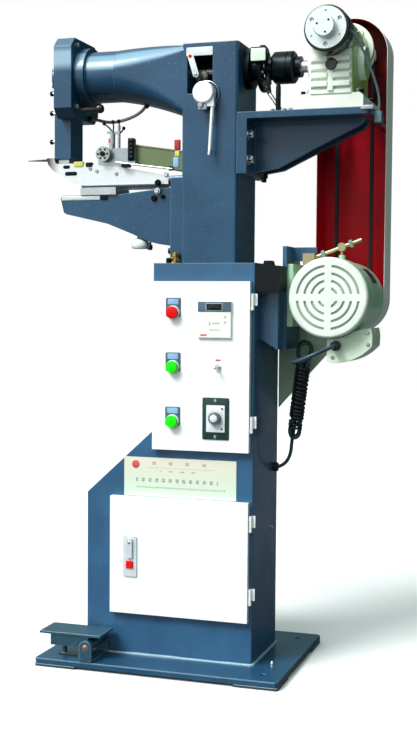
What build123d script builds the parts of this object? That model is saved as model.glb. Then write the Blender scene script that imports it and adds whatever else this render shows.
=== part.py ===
# Heavy leather stitching machine on a floor pedestal.
# X runs along the front from the needle head (-X) to the belt guard (+X),
# -Y is the side with the doors, +Z is up.  Origin: centre of the base plate on the floor.
from build123d import *
from math import tan, radians
import os

os.makedirs("parts", exist_ok=True)

# ---------------------------------------------------------------- driving dimensions (mm)
BASE_W, BASE_D = 544, 392          # base plate
PAD_T, PLATE_T = 6, 12             # rubber pads under a steel plate
DECK = PAD_T + PLATE_T             # top of the base plate
FLOOR_HOLE_X, FLOOR_HOLE_Y, FLOOR_HOLE_D = 456, 300, 14

PED_LEFT, PED_RIGHT, PED_HALF = -191, 189, 98
NECK_LEFT, SLANT_LOW, SLANT_HIGH = -38, 370, 511
PED_TOP, TOP_T, SHEET = 872, 32, 4

COL_LEFT, COL_RIGHT, COL_HALF, COL_TOP, COL_WALL = 15, 140, 72.5, 1338, 12
SHAFT_Z, SHAFT_R = 1290, 12.5      # main shaft axis, along X at y = 0
WORM_Z, WORM_R = SHAFT_Z + 50, 10  # worm axis, along Y, 50 mm above the wheel axis
MOTOR_Z, MOTOR_R = 800, 80         # motor axis, along Y
DRIVE_X, BELT_Y = 340, 178         # worm and motor axes stand above each other

RUN = 0.05                         # radial running clearance
SEAT = 0.02                        # radial clearance of a fixed seat

ARM_R, ARM_END, RING_END = 56, -214, -241
HEAD_L, HEAD_R, HEAD_HALF = -284, -242, 75
HEAD_TOP, HEAD_LOW = 1370, 1195
NEEDLE_X, BOX_L, BOX_R, BOX_HALF, BOX_LOW = -282, -303, -262, 33, 1108
CRANK_R = 15

SHELF_TOP, SHELF_T, SHELF_HALF = 1188, 14, 80

DOOR_FRONT, DOOR_BACK, DOOR_SHEET = -112, -98.5, 1.5
HINGE_X, HINGE_Y = 186, -105
CTRL_DOOR = (-34, 182, 473, 833)   # left, right, bottom, top
LOW_DOOR = (-131, 182, 111, 367)
CTRL_HINGES = (537, 795)           # heights of the hinge barrels
LOW_HINGES = (171, 327)

BUTTON_X, BUTTON_Z = 13, (767, 651, 535)
TOGGLE_X, TOGGLE_Z = 113, 652
KNOB_X, KNOB_Z = 109, 545
LATCH_X, LATCH_Z = -83.5, 268

PEDAL_X, PEDAL_Z = -153, 50        # pedal pin, along Y
LEVER_X, LEVER_Z = 72, 1229        # hand lever pivot, along Y
TENSION_X, TENSION_Z = -179, 1115

CABLE_D, LEAD_D, HOSE_D = 8, 5, 7


def keep(piece, name):
    piece.part.label = name
    export_step(piece.part, f"parts/{name}.step")


def span(x, y, z, mode=Mode.ADD):
    """A box between two limits along each axis."""
    centre = ((x[0] + x[1]) / 2, (y[0] + y[1]) / 2, (z[0] + z[1]) / 2)
    with Locations(centre):
        Box(x[1] - x[0], y[1] - y[0], z[1] - z[0], mode=mode)


def rod_x(x, radius, y=0, z=SHAFT_Z, mode=Mode.ADD):
    """A cylinder along X between two limits."""
    with BuildSketch(Plane.YZ.offset(x[0])) as section:
        with Locations((y, z)):
            Circle(radius)
    extrude(section.sketch, amount=x[1] - x[0], mode=mode)


def rod_y(y, radius, x, z, mode=Mode.ADD):
    """A cylinder along Y between two limits."""
    with BuildSketch(Plane.XZ.offset(-y[1])) as section:
        with Locations((x, z)):
            Circle(radius)
    extrude(section.sketch, amount=y[1] - y[0], mode=mode)


def rod_z(z, radius, x, y, mode=Mode.ADD):
    """A cylinder along Z between two limits."""
    with BuildSketch(Plane.XY.offset(z[0])) as section:
        with Locations((x, y)):
            Circle(radius)
    extrude(section.sketch, amount=z[1] - z[0], mode=mode)


def profile_y(points, y, mode=Mode.ADD):
    """An outline of (x, z) points carried along Y between two limits."""
    with BuildSketch(Plane.XZ.offset(-y[1])) as section:
        with BuildLine():
            Polyline(*points, close=True)
        make_face()
    extrude(section.sketch, amount=y[1] - y[0], mode=mode)


# ---------------------------------------------------------------- base
with BuildPart() as base_plate:
    span((-BASE_W / 2, BASE_W / 2), (-BASE_D / 2, BASE_D / 2), (PAD_T, DECK))
    chamfer(base_plate.edges().filter_by(Axis.Z), 6)
    chamfer(base_plate.faces().sort_by(Axis.Z)[-1].edges(), 1.5)
    with Locations((0, 0, DECK)):
        with GridLocations(FLOOR_HOLE_X, FLOOR_HOLE_Y, 2, 2):
            Hole(FLOOR_HOLE_D / 2)
keep(base_plate, "base_plate")

PAD_W, PAD_D = 96, 92
with BuildPart() as foot_pads:
    with BuildSketch(Plane.XY):
        with GridLocations(BASE_W - PAD_W, BASE_D - PAD_D, 2, 2):
            RectangleRounded(PAD_W, PAD_D, 5)
        with GridLocations(FLOOR_HOLE_X, FLOOR_HOLE_Y, 2, 2):
            Circle(FLOOR_HOLE_D / 2, mode=Mode.SUBTRACT)
    extrude(amount=PAD_T)
keep(foot_pads, "foot_pads")

# ---------------------------------------------------------------- pedestal cabinet
outline = [(PED_LEFT, DECK), (PED_RIGHT, DECK), (PED_RIGHT, PED_TOP), (NECK_LEFT, PED_TOP),
           (NECK_LEFT, SLANT_HIGH), (PED_LEFT, SLANT_LOW)]
hollow_right, hollow_top = PED_RIGHT - SHEET, PED_TOP - TOP_T
inside = [(PED_LEFT + SHEET, DECK), (hollow_right, DECK), (hollow_right, hollow_top),
          (NECK_LEFT + SHEET, hollow_top), (NECK_LEFT + SHEET, SLANT_HIGH - SHEET / 2),
          (PED_LEFT + SHEET, SLANT_LOW - SHEET / 2)]
RIM = 12                           # rim of sheet left round each door opening
SHELF_Z = 414                      # partition between the two cabinets
with BuildPart() as pedestal_shell:
    profile_y(outline, (-PED_HALF, PED_HALF))
    fillet(pedestal_shell.edges().filter_by(Axis.Z), 3)
    profile_y(inside, (-PED_HALF + SHEET, PED_HALF - SHEET), Mode.SUBTRACT)
    for left, right, low, high in (CTRL_DOOR, LOW_DOOR):
        span((left + RIM, right - RIM), (-PED_HALF - 1, 0), (low + RIM, high - RIM), Mode.SUBTRACT)
    partition_left = PED_LEFT + SHEET + (SHELF_Z - SLANT_LOW) + 8
    span((partition_left, hollow_right), (-PED_HALF + SHEET, PED_HALF - SHEET), (SHELF_Z, SHELF_Z + 3))
keep(pedestal_shell, "pedestal_shell")

with BuildPart() as door_hinges:
    for height in CTRL_HINGES + LOW_HINGES:
        rod_z((height - 12.5, height + 12.5), 3.4, HINGE_X, HINGE_Y)
        span((HINGE_X + 1.2, HINGE_X + 9), (-PED_HALF - 2, -PED_HALF), (height - 12.5, height + 12.5))
        span((HINGE_X + 1.2, HINGE_X + 3.4), (HINGE_Y, -PED_HALF - 1), (height - 12.5, height + 12.5))
        rod_z((height - 12.5, height + 12.5), 1.5 + RUN, HINGE_X, HINGE_Y, Mode.SUBTRACT)
keep(door_hinges, "door_hinges")


def door_tray(limits, hinge_heights):
    """A sheet tray open at the back, with a pin and a lug at each hinge barrel."""
    left, right, low, high = limits
    span((left, right), (DOOR_FRONT, DOOR_BACK), (low, high))
    span((left + DOOR_SHEET, right - DOOR_SHEET), (DOOR_FRONT + DOOR_SHEET, DOOR_BACK + 1),
         (low + DOOR_SHEET, high - DOOR_SHEET), Mode.SUBTRACT)
    for height in hinge_heights:
        rod_z((height - 22, height + 12.5), 1.5, HINGE_X, HINGE_Y)
        rod_z((height - 22, height - 13), 3.4, HINGE_X, HINGE_Y)
        span((right - 1, HINGE_X), (HINGE_Y - 1.5, HINGE_Y + 1.5), (height - 22, height - 13))


with BuildPart() as control_door:
    door_tray(CTRL_DOOR, CTRL_HINGES)
    for height in BUTTON_Z:
        rod_y((DOOR_FRONT - 1, -90), 14 + SEAT, BUTTON_X, height, Mode.SUBTRACT)
    rod_y((DOOR_FRONT - 1, -90), 6 + SEAT, TOGGLE_X, TOGGLE_Z, Mode.SUBTRACT)
    rod_y((DOOR_FRONT - 1, -90), 5 + SEAT, KNOB_X, KNOB_Z, Mode.SUBTRACT)
    span((74 - SEAT, 139 + SEAT), (DOOR_FRONT - 1, -100), (718 - SEAT, 787 + SEAT), Mode.SUBTRACT)
keep(control_door, "control_door")

with BuildPart() as lower_door:
    door_tray(LOW_DOOR, LOW_HINGES)
    rod_y((DOOR_FRONT - 1, -90), 8 + SEAT, LATCH_X, LATCH_Z, Mode.SUBTRACT)
    span((LATCH_X - 9.5 - SEAT, LATCH_X + 9.5 + SEAT), (DOOR_FRONT - 1, -100),
         (209.5 - SEAT, 228.5 + SEAT), Mode.SUBTRACT)
keep(lower_door, "lower_door")

# ---------------------------------------------------------------- door fittings
with BuildPart() as panel_bezels:
    for height in BUTTON_Z:
        span((BUTTON_X - 15.5, BUTTON_X + 15.5), (DOOR_FRONT - 1.5, DOOR_FRONT),
             (height - 16, height + 30))
        rod_y((DOOR_FRONT - 8, DOOR_FRONT), 14.8, BUTTON_X, height)
        rod_y((DOOR_FRONT, -76), 14, BUTTON_X, height)
        rod_y((DOOR_FRONT - 9, -80), 11.6 + RUN, BUTTON_X, height, Mode.SUBTRACT)
    rod_y((DOOR_FRONT - 4, DOOR_FRONT), 8, TOGGLE_X, TOGGLE_Z)
    rod_y((DOOR_FRONT, -90), 6, TOGGLE_X, TOGGLE_Z)
    rod_y((DOOR_FRONT - 5, -94), 4.6, TOGGLE_X, TOGGLE_Z, Mode.SUBTRACT)
    span((KNOB_X - 28, KNOB_X + 30), (DOOR_FRONT - 2, DOOR_FRONT), (KNOB_Z - 43, KNOB_Z + 43))
    rod_y((DOOR_FRONT, -84), 5, KNOB_X, KNOB_Z)
    rod_y((DOOR_FRONT - 3, -83), 3 + RUN, KNOB_X, KNOB_Z, Mode.SUBTRACT)
keep(panel_bezels, "panel_bezels")

for name, height in zip(("stop_button", "start_button", "jog_button"), BUTTON_Z):
    with BuildPart() as cap:
        rod_y((DOOR_FRONT - 11, -86), 11.6, BUTTON_X, height)
        fillet(cap.edges().sort_by(Axis.Y)[0], 1.5)
    keep(cap, name)

with BuildPart() as toggle_lever:
    rod_y((DOOR_FRONT - 20, DOOR_FRONT + 6), 2.2, TOGGLE_X, TOGGLE_Z)
    rod_x((TOGGLE_X - 3.4, TOGGLE_X + 3.4), 1.4, DOOR_FRONT, TOGGLE_Z)
    with Locations((TOGGLE_X, DOOR_FRONT - 20, TOGGLE_Z)):
        Sphere(3.4)
keep(toggle_lever, "toggle_lever")

with BuildPart() as counter_display:
    span((70, 143), (DOOR_FRONT - 6, DOOR_FRONT), (714, 791))
    span((74, 139), (DOOR_FRONT, -62), (718, 787))
    fillet(counter_display.faces().sort_by(Axis.Y)[0].edges(), 1.2)
keep(counter_display, "counter_display")

with BuildPart() as speed_knob:
    rod_y((DOOR_FRONT - 18, DOOR_FRONT - 2.4), 12.2, KNOB_X, KNOB_Z)
    fillet(speed_knob.edges().sort_by(Axis.Y)[0], 1.5)
    rod_y((DOOR_FRONT - 3, -90), 3, KNOB_X, KNOB_Z)
keep(speed_knob, "speed_knob")

with BuildPart() as latch_body:
    span((LATCH_X - 15.5, LATCH_X + 15.5), (DOOR_FRONT - 3, DOOR_FRONT), (193, 281))
    fillet(latch_body.edges().filter_by(Axis.Y), 3)
    rod_y((DOOR_FRONT, -95), 8, LATCH_X, LATCH_Z)
    span((LATCH_X - 9.5, LATCH_X + 9.5), (DOOR_FRONT, DOOR_BACK), (209.5, 228.5))
    rod_y((DOOR_FRONT - 4, -90), 4 + RUN, LATCH_X, LATCH_Z, Mode.SUBTRACT)
    span((LATCH_X - 8.3, LATCH_X + 8.3), (DOOR_FRONT - 4, DOOR_BACK - 4), (210.7, 227.3), Mode.SUBTRACT)
keep(latch_body, "latch_body")

with BuildPart() as latch_handle:
    span((LATCH_X - 6.5, LATCH_X + 6.5), (DOOR_FRONT - 8, DOOR_FRONT - 3.4), (234, LATCH_Z + 8))
    fillet(latch_handle.edges().filter_by(Axis.Y), 3)
    rod_y((DOOR_FRONT - 4, -89), 4, LATCH_X, LATCH_Z)
    span((LATCH_X - 7, LATCH_X + 7), (-93, -89), (LATCH_Z - 7, LATCH_Z + 42))
keep(latch_handle, "latch_handle")

with BuildPart() as latch_button:
    span((LATCH_X - 8, LATCH_X + 8), (DOOR_FRONT - 6, DOOR_BACK - 7), (211, 227))
    fillet(latch_button.faces().sort_by(Axis.Y)[0].edges(), 1)
keep(latch_button, "latch_button")

with BuildPart() as nameplate:
    span((-103, 152), (-PED_HALF - 1, -PED_HALF), (368, 453))
keep(nameplate, "nameplate")

# ---------------------------------------------------------------- pedal
PEDAL_Y = (-184, -110)
with BuildPart() as pedal_bracket:
    for y in ((-104, -99), (-196, -189)):
        span((PEDAL_X - 14, PEDAL_X + 14), y, (DECK, PEDAL_Z))
        rod_y(y, 14, PEDAL_X, PEDAL_Z)
    rod_y((-197, -98), 6 + RUN, PEDAL_X, PEDAL_Z, Mode.SUBTRACT)
    span((PEDAL_X - 14, PEDAL_X + 14), (-196, -99), (DECK, DECK + 4))
    span((-228, PEDAL_X), (-153, -141), (DECK, DECK + 4))
    rod_z((DECK, 40), 5, -222, -147)
keep(pedal_bracket, "pedal_bracket")

with BuildPart() as pedal:
    rod_y((-196, -99), 6, PEDAL_X, PEDAL_Z)
    rod_y((-187, -106), 11, PEDAL_X, PEDAL_Z)
    span((-265, -124), PEDAL_Y, (70, 75))
    span((-240, PEDAL_X), (-182, -178), (46, 71))
    span((-240, PEDAL_X), (-116, -112), (46, 71))
keep(pedal, "pedal")

# ---------------------------------------------------------------- column and upper arm
with BuildPart() as column_casting:
    span((COL_LEFT, COL_RIGHT), (-COL_HALF, COL_HALF), (PED_TOP, COL_TOP))
    fillet(column_casting.edges().filter_by(Axis.Z), 7)
    for x, width, height, corner, centre in ((-150, 2 * ARM_R, 2 * ARM_R, ARM_R - 3, SHAFT_Z),
                                             (-88, 120, 124, 46, 1285),
                                             (COL_LEFT + 4, 2 * COL_HALF - 1, 150, 14, 1262)):
        with BuildSketch(Plane.YZ.offset(x)):
            with Locations((0, centre)):
                RectangleRounded(width, height, corner)
    loft()
    rod_x((RING_END + 20, -149), ARM_R)
    rod_x((RING_END, RING_END + 22), 65)
    inner = (COL_LEFT + COL_WALL, COL_RIGHT - COL_WALL)
    span(inner, (-COL_HALF + COL_WALL, COL_HALF - COL_WALL), (PED_TOP + COL_WALL, COL_TOP - COL_WALL),
         Mode.SUBTRACT)
    rod_x((RING_END + 20, COL_LEFT + COL_WALL + 1), 40, mode=Mode.SUBTRACT)
    rod_x((RING_END - 1, RING_END + 22), SHAFT_R + RUN, mode=Mode.SUBTRACT)
    rod_x((COL_RIGHT - COL_WALL - 1, COL_RIGHT + 1), 34, mode=Mode.SUBTRACT)
    span((27, 84), (-COL_HALF - 1, -COL_HALF + COL_WALL + 1), (1232, 1312), Mode.SUBTRACT)
    rod_y((-COL_HALF - 6, -COL_HALF + COL_WALL + 6), 14, LEVER_X, LEVER_Z)
    rod_y((-COL_HALF - 7, -COL_HALF + COL_WALL + 7), 6 + RUN, LEVER_X, LEVER_Z, Mode.SUBTRACT)
keep(column_casting, "column_casting")

with BuildPart() as bearing_flange:
    rod_x((COL_RIGHT, COL_RIGHT + 13), 43)
    rod_x((COL_RIGHT - COL_WALL, COL_RIGHT), 34 - SEAT)
    rod_x((COL_RIGHT + 13, COL_RIGHT + 30), 25)
    rod_x((COL_RIGHT - COL_WALL - 1, COL_RIGHT + 31), SHAFT_R + RUN, mode=Mode.SUBTRACT)
keep(bearing_flange, "bearing_flange")

# ---------------------------------------------------------------- needle head
with BuildPart() as head_housing:
    with BuildSketch(Plane.YZ.offset(HEAD_L)):
        with Locations((0, (HEAD_TOP + HEAD_LOW) / 2)):
            head_outline = Rectangle(2 * HEAD_HALF, HEAD_TOP - HEAD_LOW)
        chamfer(head_outline.vertices(), 20)
    extrude(amount=HEAD_R - HEAD_L)
    span((BOX_L, BOX_R), (-BOX_HALF, BOX_HALF), (BOX_LOW, 1336))
    fillet(head_housing.edges().filter_by(Axis.Z).group_by(Axis.X)[0], 4)
    rod_x((HEAD_L - 1, HEAD_R - 8), 52, mode=Mode.SUBTRACT)
    span((BOX_L + 6, BOX_R - 6), (-BOX_HALF + 6, BOX_HALF - 6), (BOX_LOW - 1, 1330), Mode.SUBTRACT)
    rod_x((HEAD_R - 9, HEAD_R + 1), 22, mode=Mode.SUBTRACT)
    rod_x((BOX_L - 1, BOX_L + 7), 26, mode=Mode.SUBTRACT)
    span((BOX_L + 5, BOX_R - 5), (-BOX_HALF + 5, BOX_HALF - 5), (1176, 1186))
    span((BOX_L + 5, BOX_R - 5), (-BOX_HALF + 5, BOX_HALF - 5), (1216, 1226))
    rod_z((1170, 1230), 5 + RUN, NEEDLE_X, 0, Mode.SUBTRACT)
    rod_z((1170, 1230), 4 + RUN, NEEDLE_X, 18, Mode.SUBTRACT)
keep(head_housing, "head_housing")

with BuildPart() as head_cover:
    rod_x((BOX_L - 8, BOX_L), 31)
    fillet(head_cover.edges().sort_by(Axis.X)[0], 4)
    rod_x((BOX_L, BOX_L + 5), 26 - SEAT)
keep(head_cover, "head_cover")

with BuildPart() as needle_bar:
    rod_z((1140, 1264), 5, NEEDLE_X, 0)
    rod_z((1257, 1264), 8, NEEDLE_X, 0)
    rod_z((1139, 1152), 1.2 + SEAT, NEEDLE_X, 0, Mode.SUBTRACT)
keep(needle_bar, "needle_bar")

with BuildPart() as needle:
    rod_z((1118, 1152), 1.2, NEEDLE_X, 0)
    with Locations((NEEDLE_X, 0, 1115)):
        Cone(0.3, 1.2, 6)
keep(needle, "needle")

with BuildPart() as presser_foot:
    span((NEEDLE_X - 13, NEEDLE_X + 12), (-24, 24), (1099.5, 1107.5))
    rod_z((1099, 1108), 6.5, NEEDLE_X, 0, Mode.SUBTRACT)
    rod_z((1107, 1250), 4, NEEDLE_X, 18)
keep(presser_foot, "presser_foot")

# ---------------------------------------------------------------- lower arm and work support
with BuildPart() as lower_arm:
    with BuildSketch(Plane.XZ.offset(-34)):
        with BuildLine():
            Polyline((-14, 1040), (-148, 1026), (-282, 1026), (-286, 1020), (-278, 988), (-270, 984),
                     (-172, 962), (-116, 940))
            Spline((-116, 940), (-76, 923), (-14, 912), tangents=((0.93, -0.37), (1, -0.05)))
            Line((-14, 912), (-14, 1040))
        make_face()
    extrude(amount=68)
    fillet(lower_arm.edges().filter_by(Axis.Y).group_by(Axis.X)[0], 2)
    span((-14, COL_LEFT), (-60, 60), (876, 1062))
    fillet(lower_arm.edges().filter_by(Axis.X).sort_by(Axis.Z)[-2:], 6)
keep(lower_arm, "lower_arm")

with BuildPart() as slide_rail:
    span((-236, -44), (-40, 40), (1026, 1042))
    fillet(slide_rail.edges().filter_by(Axis.Z), 4)
    span((-228, -50), (-34, 34), (1042, 1047))
    profile_y([(-16, 1024), (-16, 1042), (-150, 1042), (-150, 1024)], (-41, 41), Mode.SUBTRACT)
keep(slide_rail, "slide_rail")

with BuildPart() as feed_horn:
    profile_y([(-16, 1047), (-16, 1062), (-148, 1088), (-268, 1098), (-300, 1098), (-304, 1111),
               (-322, 1111), (-318, 1096), (-306, 1083), (-268, 1060), (-240, 1047)], (-31, 31))
    rod_z((1040, 1120), 3, NEEDLE_X, 0, Mode.SUBTRACT)
    with BuildSketch(Plane.YZ.offset(-316)):
        with Locations((-24, 1107)):
            Circle(3.2)
    extrude(amount=-56, taper=2.5)
    for x, z, width, height in ((-273, 1090, 17, 8), (-262, 1075, 30, 9)):
        with BuildSketch(Plane.XZ.offset(31)):
            with Locations((x, z)):
                SlotOverall(width, height)
        extrude(amount=-7, mode=Mode.SUBTRACT)
keep(feed_horn, "feed_horn")

with BuildPart() as thread_guard:
    profile_y([(-122, 1098), (-122, 1137), (COL_LEFT, 1116), (COL_LEFT, 1072)], (-20, 20))
    profile_y([(-125, 1090), (-120, 1135), (COL_LEFT + 1, 1114), (COL_LEFT + 1, 1060)], (-18.5, 18.5),
              Mode.SUBTRACT)
keep(thread_guard, "thread_guard")

with BuildPart() as tension_bracket:
    profile_y([(-196, 1092.2), (-196, 1104), (-160, 1128), (-150, 1128), (-108, 1128), (-108, 1092),
               (-128, 1092), (-128, 1086.5), (-148, 1088.2)], (-31, -21))
    span((-122, -110), (-33, -20.5), (1100, 1148))
    rod_z((1126, 1166), 6.5, -164, -26)
    rod_z((1126, 1178), 3.2, -148, -26)
    span((-176, -146), (-29, -23), (1160, 1166))
    rod_y((-48, -31), 3, TENSION_X, TENSION_Z)
keep(tension_bracket, "tension_bracket")

with BuildPart() as tension_wheel:
    rod_y((-46, -33), 16.5, TENSION_X, TENSION_Z)
    with BuildSketch(Plane.XZ.offset(38.5)):
        with Locations((TENSION_X, TENSION_Z)):
            Circle(18)
            Circle(12, mode=Mode.SUBTRACT)
    extrude(amount=2, mode=Mode.SUBTRACT)
    rod_y((-50, -30), 3 + RUN, TENSION_X, TENSION_Z, Mode.SUBTRACT)
keep(tension_wheel, "tension_wheel")

# ---------------------------------------------------------------- hand lever
with BuildPart() as lift_lever:
    rod_y((-104, -82), 23, LEVER_X, LEVER_Z)
    fillet(lift_lever.edges().sort_by(Axis.Y)[0], 3)
    rod_y((-84, -58), 6, LEVER_X, LEVER_Z)
    span((LEVER_X, 94), (-96, -84), (1200, 1222))
    with BuildLine():
        Line((90, -90, 1206), (84, -90, 1099))
    with BuildSketch(Plane((90, -90, 1206), z_dir=(-6, 0, -107))):
        Circle(4.2)
    sweep()
keep(lift_lever, "lift_lever")

# ---------------------------------------------------------------- shelf bracket
with BuildPart() as shelf_bracket:
    span((COL_RIGHT, 424), (-SHELF_HALF, SHELF_HALF), (SHELF_TOP - SHELF_T, SHELF_TOP))
    fillet(shelf_bracket.edges().filter_by(Axis.Z).group_by(Axis.X)[-1], 12)
    span((COL_RIGHT, COL_RIGHT + 22), (-SHELF_HALF, SHELF_HALF), (1060, SHELF_TOP - SHELF_T))
    low = SHELF_TOP - SHELF_T
    for y in (-14, 40):
        profile_y([(COL_RIGHT + 22, low), (400, low), (388, 1160), (212, 1076), (COL_RIGHT + 22, 1068)],
                  (y, y + 10))
    for x in ((264.5, 280), (400, 415.5)):
        span(x, (SHELF_HALF, 204), (low, SHELF_TOP - 6))
keep(shelf_bracket, "shelf_bracket")

# ---------------------------------------------------------------- worm gearbox and brake
GEAR_Y = (-80, 90)
with BuildPart() as gearbox_housing:
    profile_y([(272, SHELF_TOP), (408, SHELF_TOP), (408, 1212), (400, 1218), (280, 1218), (272, 1212)],
              (-78, 88))
    span((294, 386), GEAR_Y, (1217, WORM_Z))
    fillet(gearbox_housing.edges().filter_by(Axis.Z).group_by(Axis.Z)[-1], 6)
    rod_y((-79, 89), 44, DRIVE_X, WORM_Z)
    rod_x((280, 400), 34)
    rod_y((88, 100), 56, DRIVE_X, WORM_Z)
    rod_x((302, 379), 41, mode=Mode.SUBTRACT)
    rod_y((-68, 78), 20, DRIVE_X, WORM_Z, Mode.SUBTRACT)
    rod_x((278, 303), SHAFT_R + RUN, mode=Mode.SUBTRACT)
    rod_y((-81, 101), WORM_R + RUN, DRIVE_X, WORM_Z, Mode.SUBTRACT)
    for row in range(4):
        for x in ((299, 332), (348, 381)):
            span(x, (-81, -76), (1226 + 17 * row, 1230 + 17 * row), Mode.SUBTRACT)
keep(gearbox_housing, "gearbox_housing")

with BuildPart() as worm_wheel:
    rod_x((225, 378), SHAFT_R)
    rod_x((328, 352), 34.5)
    for angle in range(0, 360, 12):
        with BuildSketch(Plane.YZ.offset(328)):
            with Locations((0, SHAFT_Z)):
                with PolarLocations(34.5, 1, start_angle=angle):
                    Rectangle(4, 3)
        extrude(amount=24, mode=Mode.SUBTRACT)
keep(worm_wheel, "worm_wheel")

with BuildPart() as worm_shaft:
    rod_y((-131.5, 200), WORM_R, DRIVE_X, WORM_Z)
    rod_y((-40, 40), 14.5, DRIVE_X, WORM_Z)
    for y in range(-36, 38, 8):
        with BuildSketch(Plane.XZ.offset(-y - 2)):
            with Locations((DRIVE_X, WORM_Z)):
                Circle(15)
                Circle(11.5, mode=Mode.SUBTRACT)
        extrude(amount=4, mode=Mode.SUBTRACT)
keep(worm_shaft, "worm_shaft")

with BuildPart() as brake_coil:
    rod_y((-124, -80), 47, DRIVE_X, WORM_Z)
    fillet(brake_coil.edges().sort_by(Axis.Y)[0], 3)
    rod_y((-125, -79), WORM_R + 2, DRIVE_X, WORM_Z, Mode.SUBTRACT)
keep(brake_coil, "brake_coil")

with BuildPart() as brake_disc:
    rod_y((-132, -124.5), 42, DRIVE_X, WORM_Z)
    rod_y((-152, -131), 22, DRIVE_X, WORM_Z)
    fillet(brake_disc.edges().sort_by(Axis.Y)[0], 2)
    with BuildSketch(Plane.XZ.offset(133)):
        with Locations((DRIVE_X, WORM_Z)):
            with PolarLocations(33, 3, start_angle=30):
                Circle(4.5)
            with PolarLocations(33, 3, start_angle=90):
                Circle(2.2)
    extrude(amount=-5, mode=Mode.SUBTRACT)
    rod_y((-133, -120), WORM_R + SEAT, DRIVE_X, WORM_Z, Mode.SUBTRACT)
keep(brake_disc, "brake_disc")

# ---------------------------------------------------------------- main shaft and coupling
with BuildPart() as main_shaft:
    rod_x((-262, 214), SHAFT_R)
    rod_x((-266, -252), 36)
    rod_x((-286, -265), 6, z=SHAFT_Z + CRANK_R)
keep(main_shaft, "main_shaft")

with BuildPart() as coupling:
    rod_x((184, 199), 25)
    rod_x((199, 231), 34)
    rod_x((231, 233), 32)
    rod_x((233, 247), 34)
    rod_x((247, 260), 22)
    rims = coupling.edges().filter_by(GeomType.CIRCLE).group_by(SortBy.RADIUS)[-1].sort_by(Axis.X)
    chamfer((rims[0], rims[-1]), 4)
    rod_x((180, 214.2), SHAFT_R + SEAT, mode=Mode.SUBTRACT)
    rod_x((224.8, 262), SHAFT_R + SEAT, mode=Mode.SUBTRACT)
keep(coupling, "coupling")

# ---------------------------------------------------------------- belt drive
GUARD_R, GUARD_Y, GUARD_T = 78, (140, 218), 2
with BuildPart() as belt_guard:
    for radius, y, mode in ((GUARD_R, GUARD_Y, Mode.ADD),
                            (GUARD_R - GUARD_T, (GUARD_Y[0] - 1, GUARD_Y[1] - GUARD_T), Mode.SUBTRACT)):
        with BuildSketch(Plane.XZ.offset(-y[1])):
            with Locations((DRIVE_X, (WORM_Z + MOTOR_Z) / 2)):
                SlotOverall(WORM_Z - MOTOR_Z + 2 * radius, 2 * radius, rotation=90)
        extrude(amount=y[1] - y[0], mode=mode)
keep(belt_guard, "belt_guard")


def pulley(bore, z):
    """A single-groove V-belt pulley with a hub."""
    rod_y((BELT_Y - 9, BELT_Y + 9), 44, DRIVE_X, z)
    rod_y((BELT_Y - 24, BELT_Y - 9), 20, DRIVE_X, z)
    with BuildSketch(Plane.YZ.offset(DRIVE_X)) as groove:
        with BuildLine():
            Polyline((BELT_Y - 6.5, z + 46), (BELT_Y + 6.5, z + 46), (BELT_Y + 4, z + 33),
                     (BELT_Y - 4, z + 33), close=True)
        make_face()
    revolve(groove.sketch, axis=Axis((DRIVE_X, 0, z), (0, 1, 0)), mode=Mode.SUBTRACT)
    rod_y((BELT_Y - 25, BELT_Y + 10), bore + SEAT, DRIVE_X, z, Mode.SUBTRACT)


MOTOR_SHAFT_R = 9.5
for name, bore, z in (("driven_pulley", WORM_R, WORM_Z), ("motor_pulley", MOTOR_SHAFT_R, MOTOR_Z)):
    with BuildPart() as wheel:
        pulley(bore, z)
    keep(wheel, name)

with BuildPart() as v_belt:
    for radius, mode in ((43, Mode.ADD), (35.5, Mode.SUBTRACT)):
        with BuildSketch(Plane.XZ.offset(-BELT_Y - 4)):
            with Locations((DRIVE_X, (WORM_Z + MOTOR_Z) / 2)):
                SlotOverall(WORM_Z - MOTOR_Z + 2 * radius, 2 * radius, rotation=90)
        extrude(amount=8, mode=mode)
keep(v_belt, "v_belt")

# ---------------------------------------------------------------- motor
with BuildPart() as motor_frame:
    rod_y((-14, 132), MOTOR_R, DRIVE_X, MOTOR_Z)
    fillet(motor_frame.edges().sort_by(Axis.Y)[-1], 8)
    for z in (MOTOR_Z - 48, MOTOR_Z + 34):
        span((250, 282), (0, 110), (z, z + 14))
    rod_y((-15, 122), MOTOR_R - 8, DRIVE_X, MOTOR_Z, Mode.SUBTRACT)
    rod_y((120, 135), MOTOR_SHAFT_R + RUN, DRIVE_X, MOTOR_Z, Mode.SUBTRACT)
    rod_y((130, 138), 30, DRIVE_X, MOTOR_Z)
    rod_y((129, 139), MOTOR_SHAFT_R + RUN, DRIVE_X, MOTOR_Z, Mode.SUBTRACT)
    rod_z((MOTOR_Z + MOTOR_R - 3, MOTOR_Z + MOTOR_R + 12), 7, 346, 30)
keep(motor_frame, "motor_frame")

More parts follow.
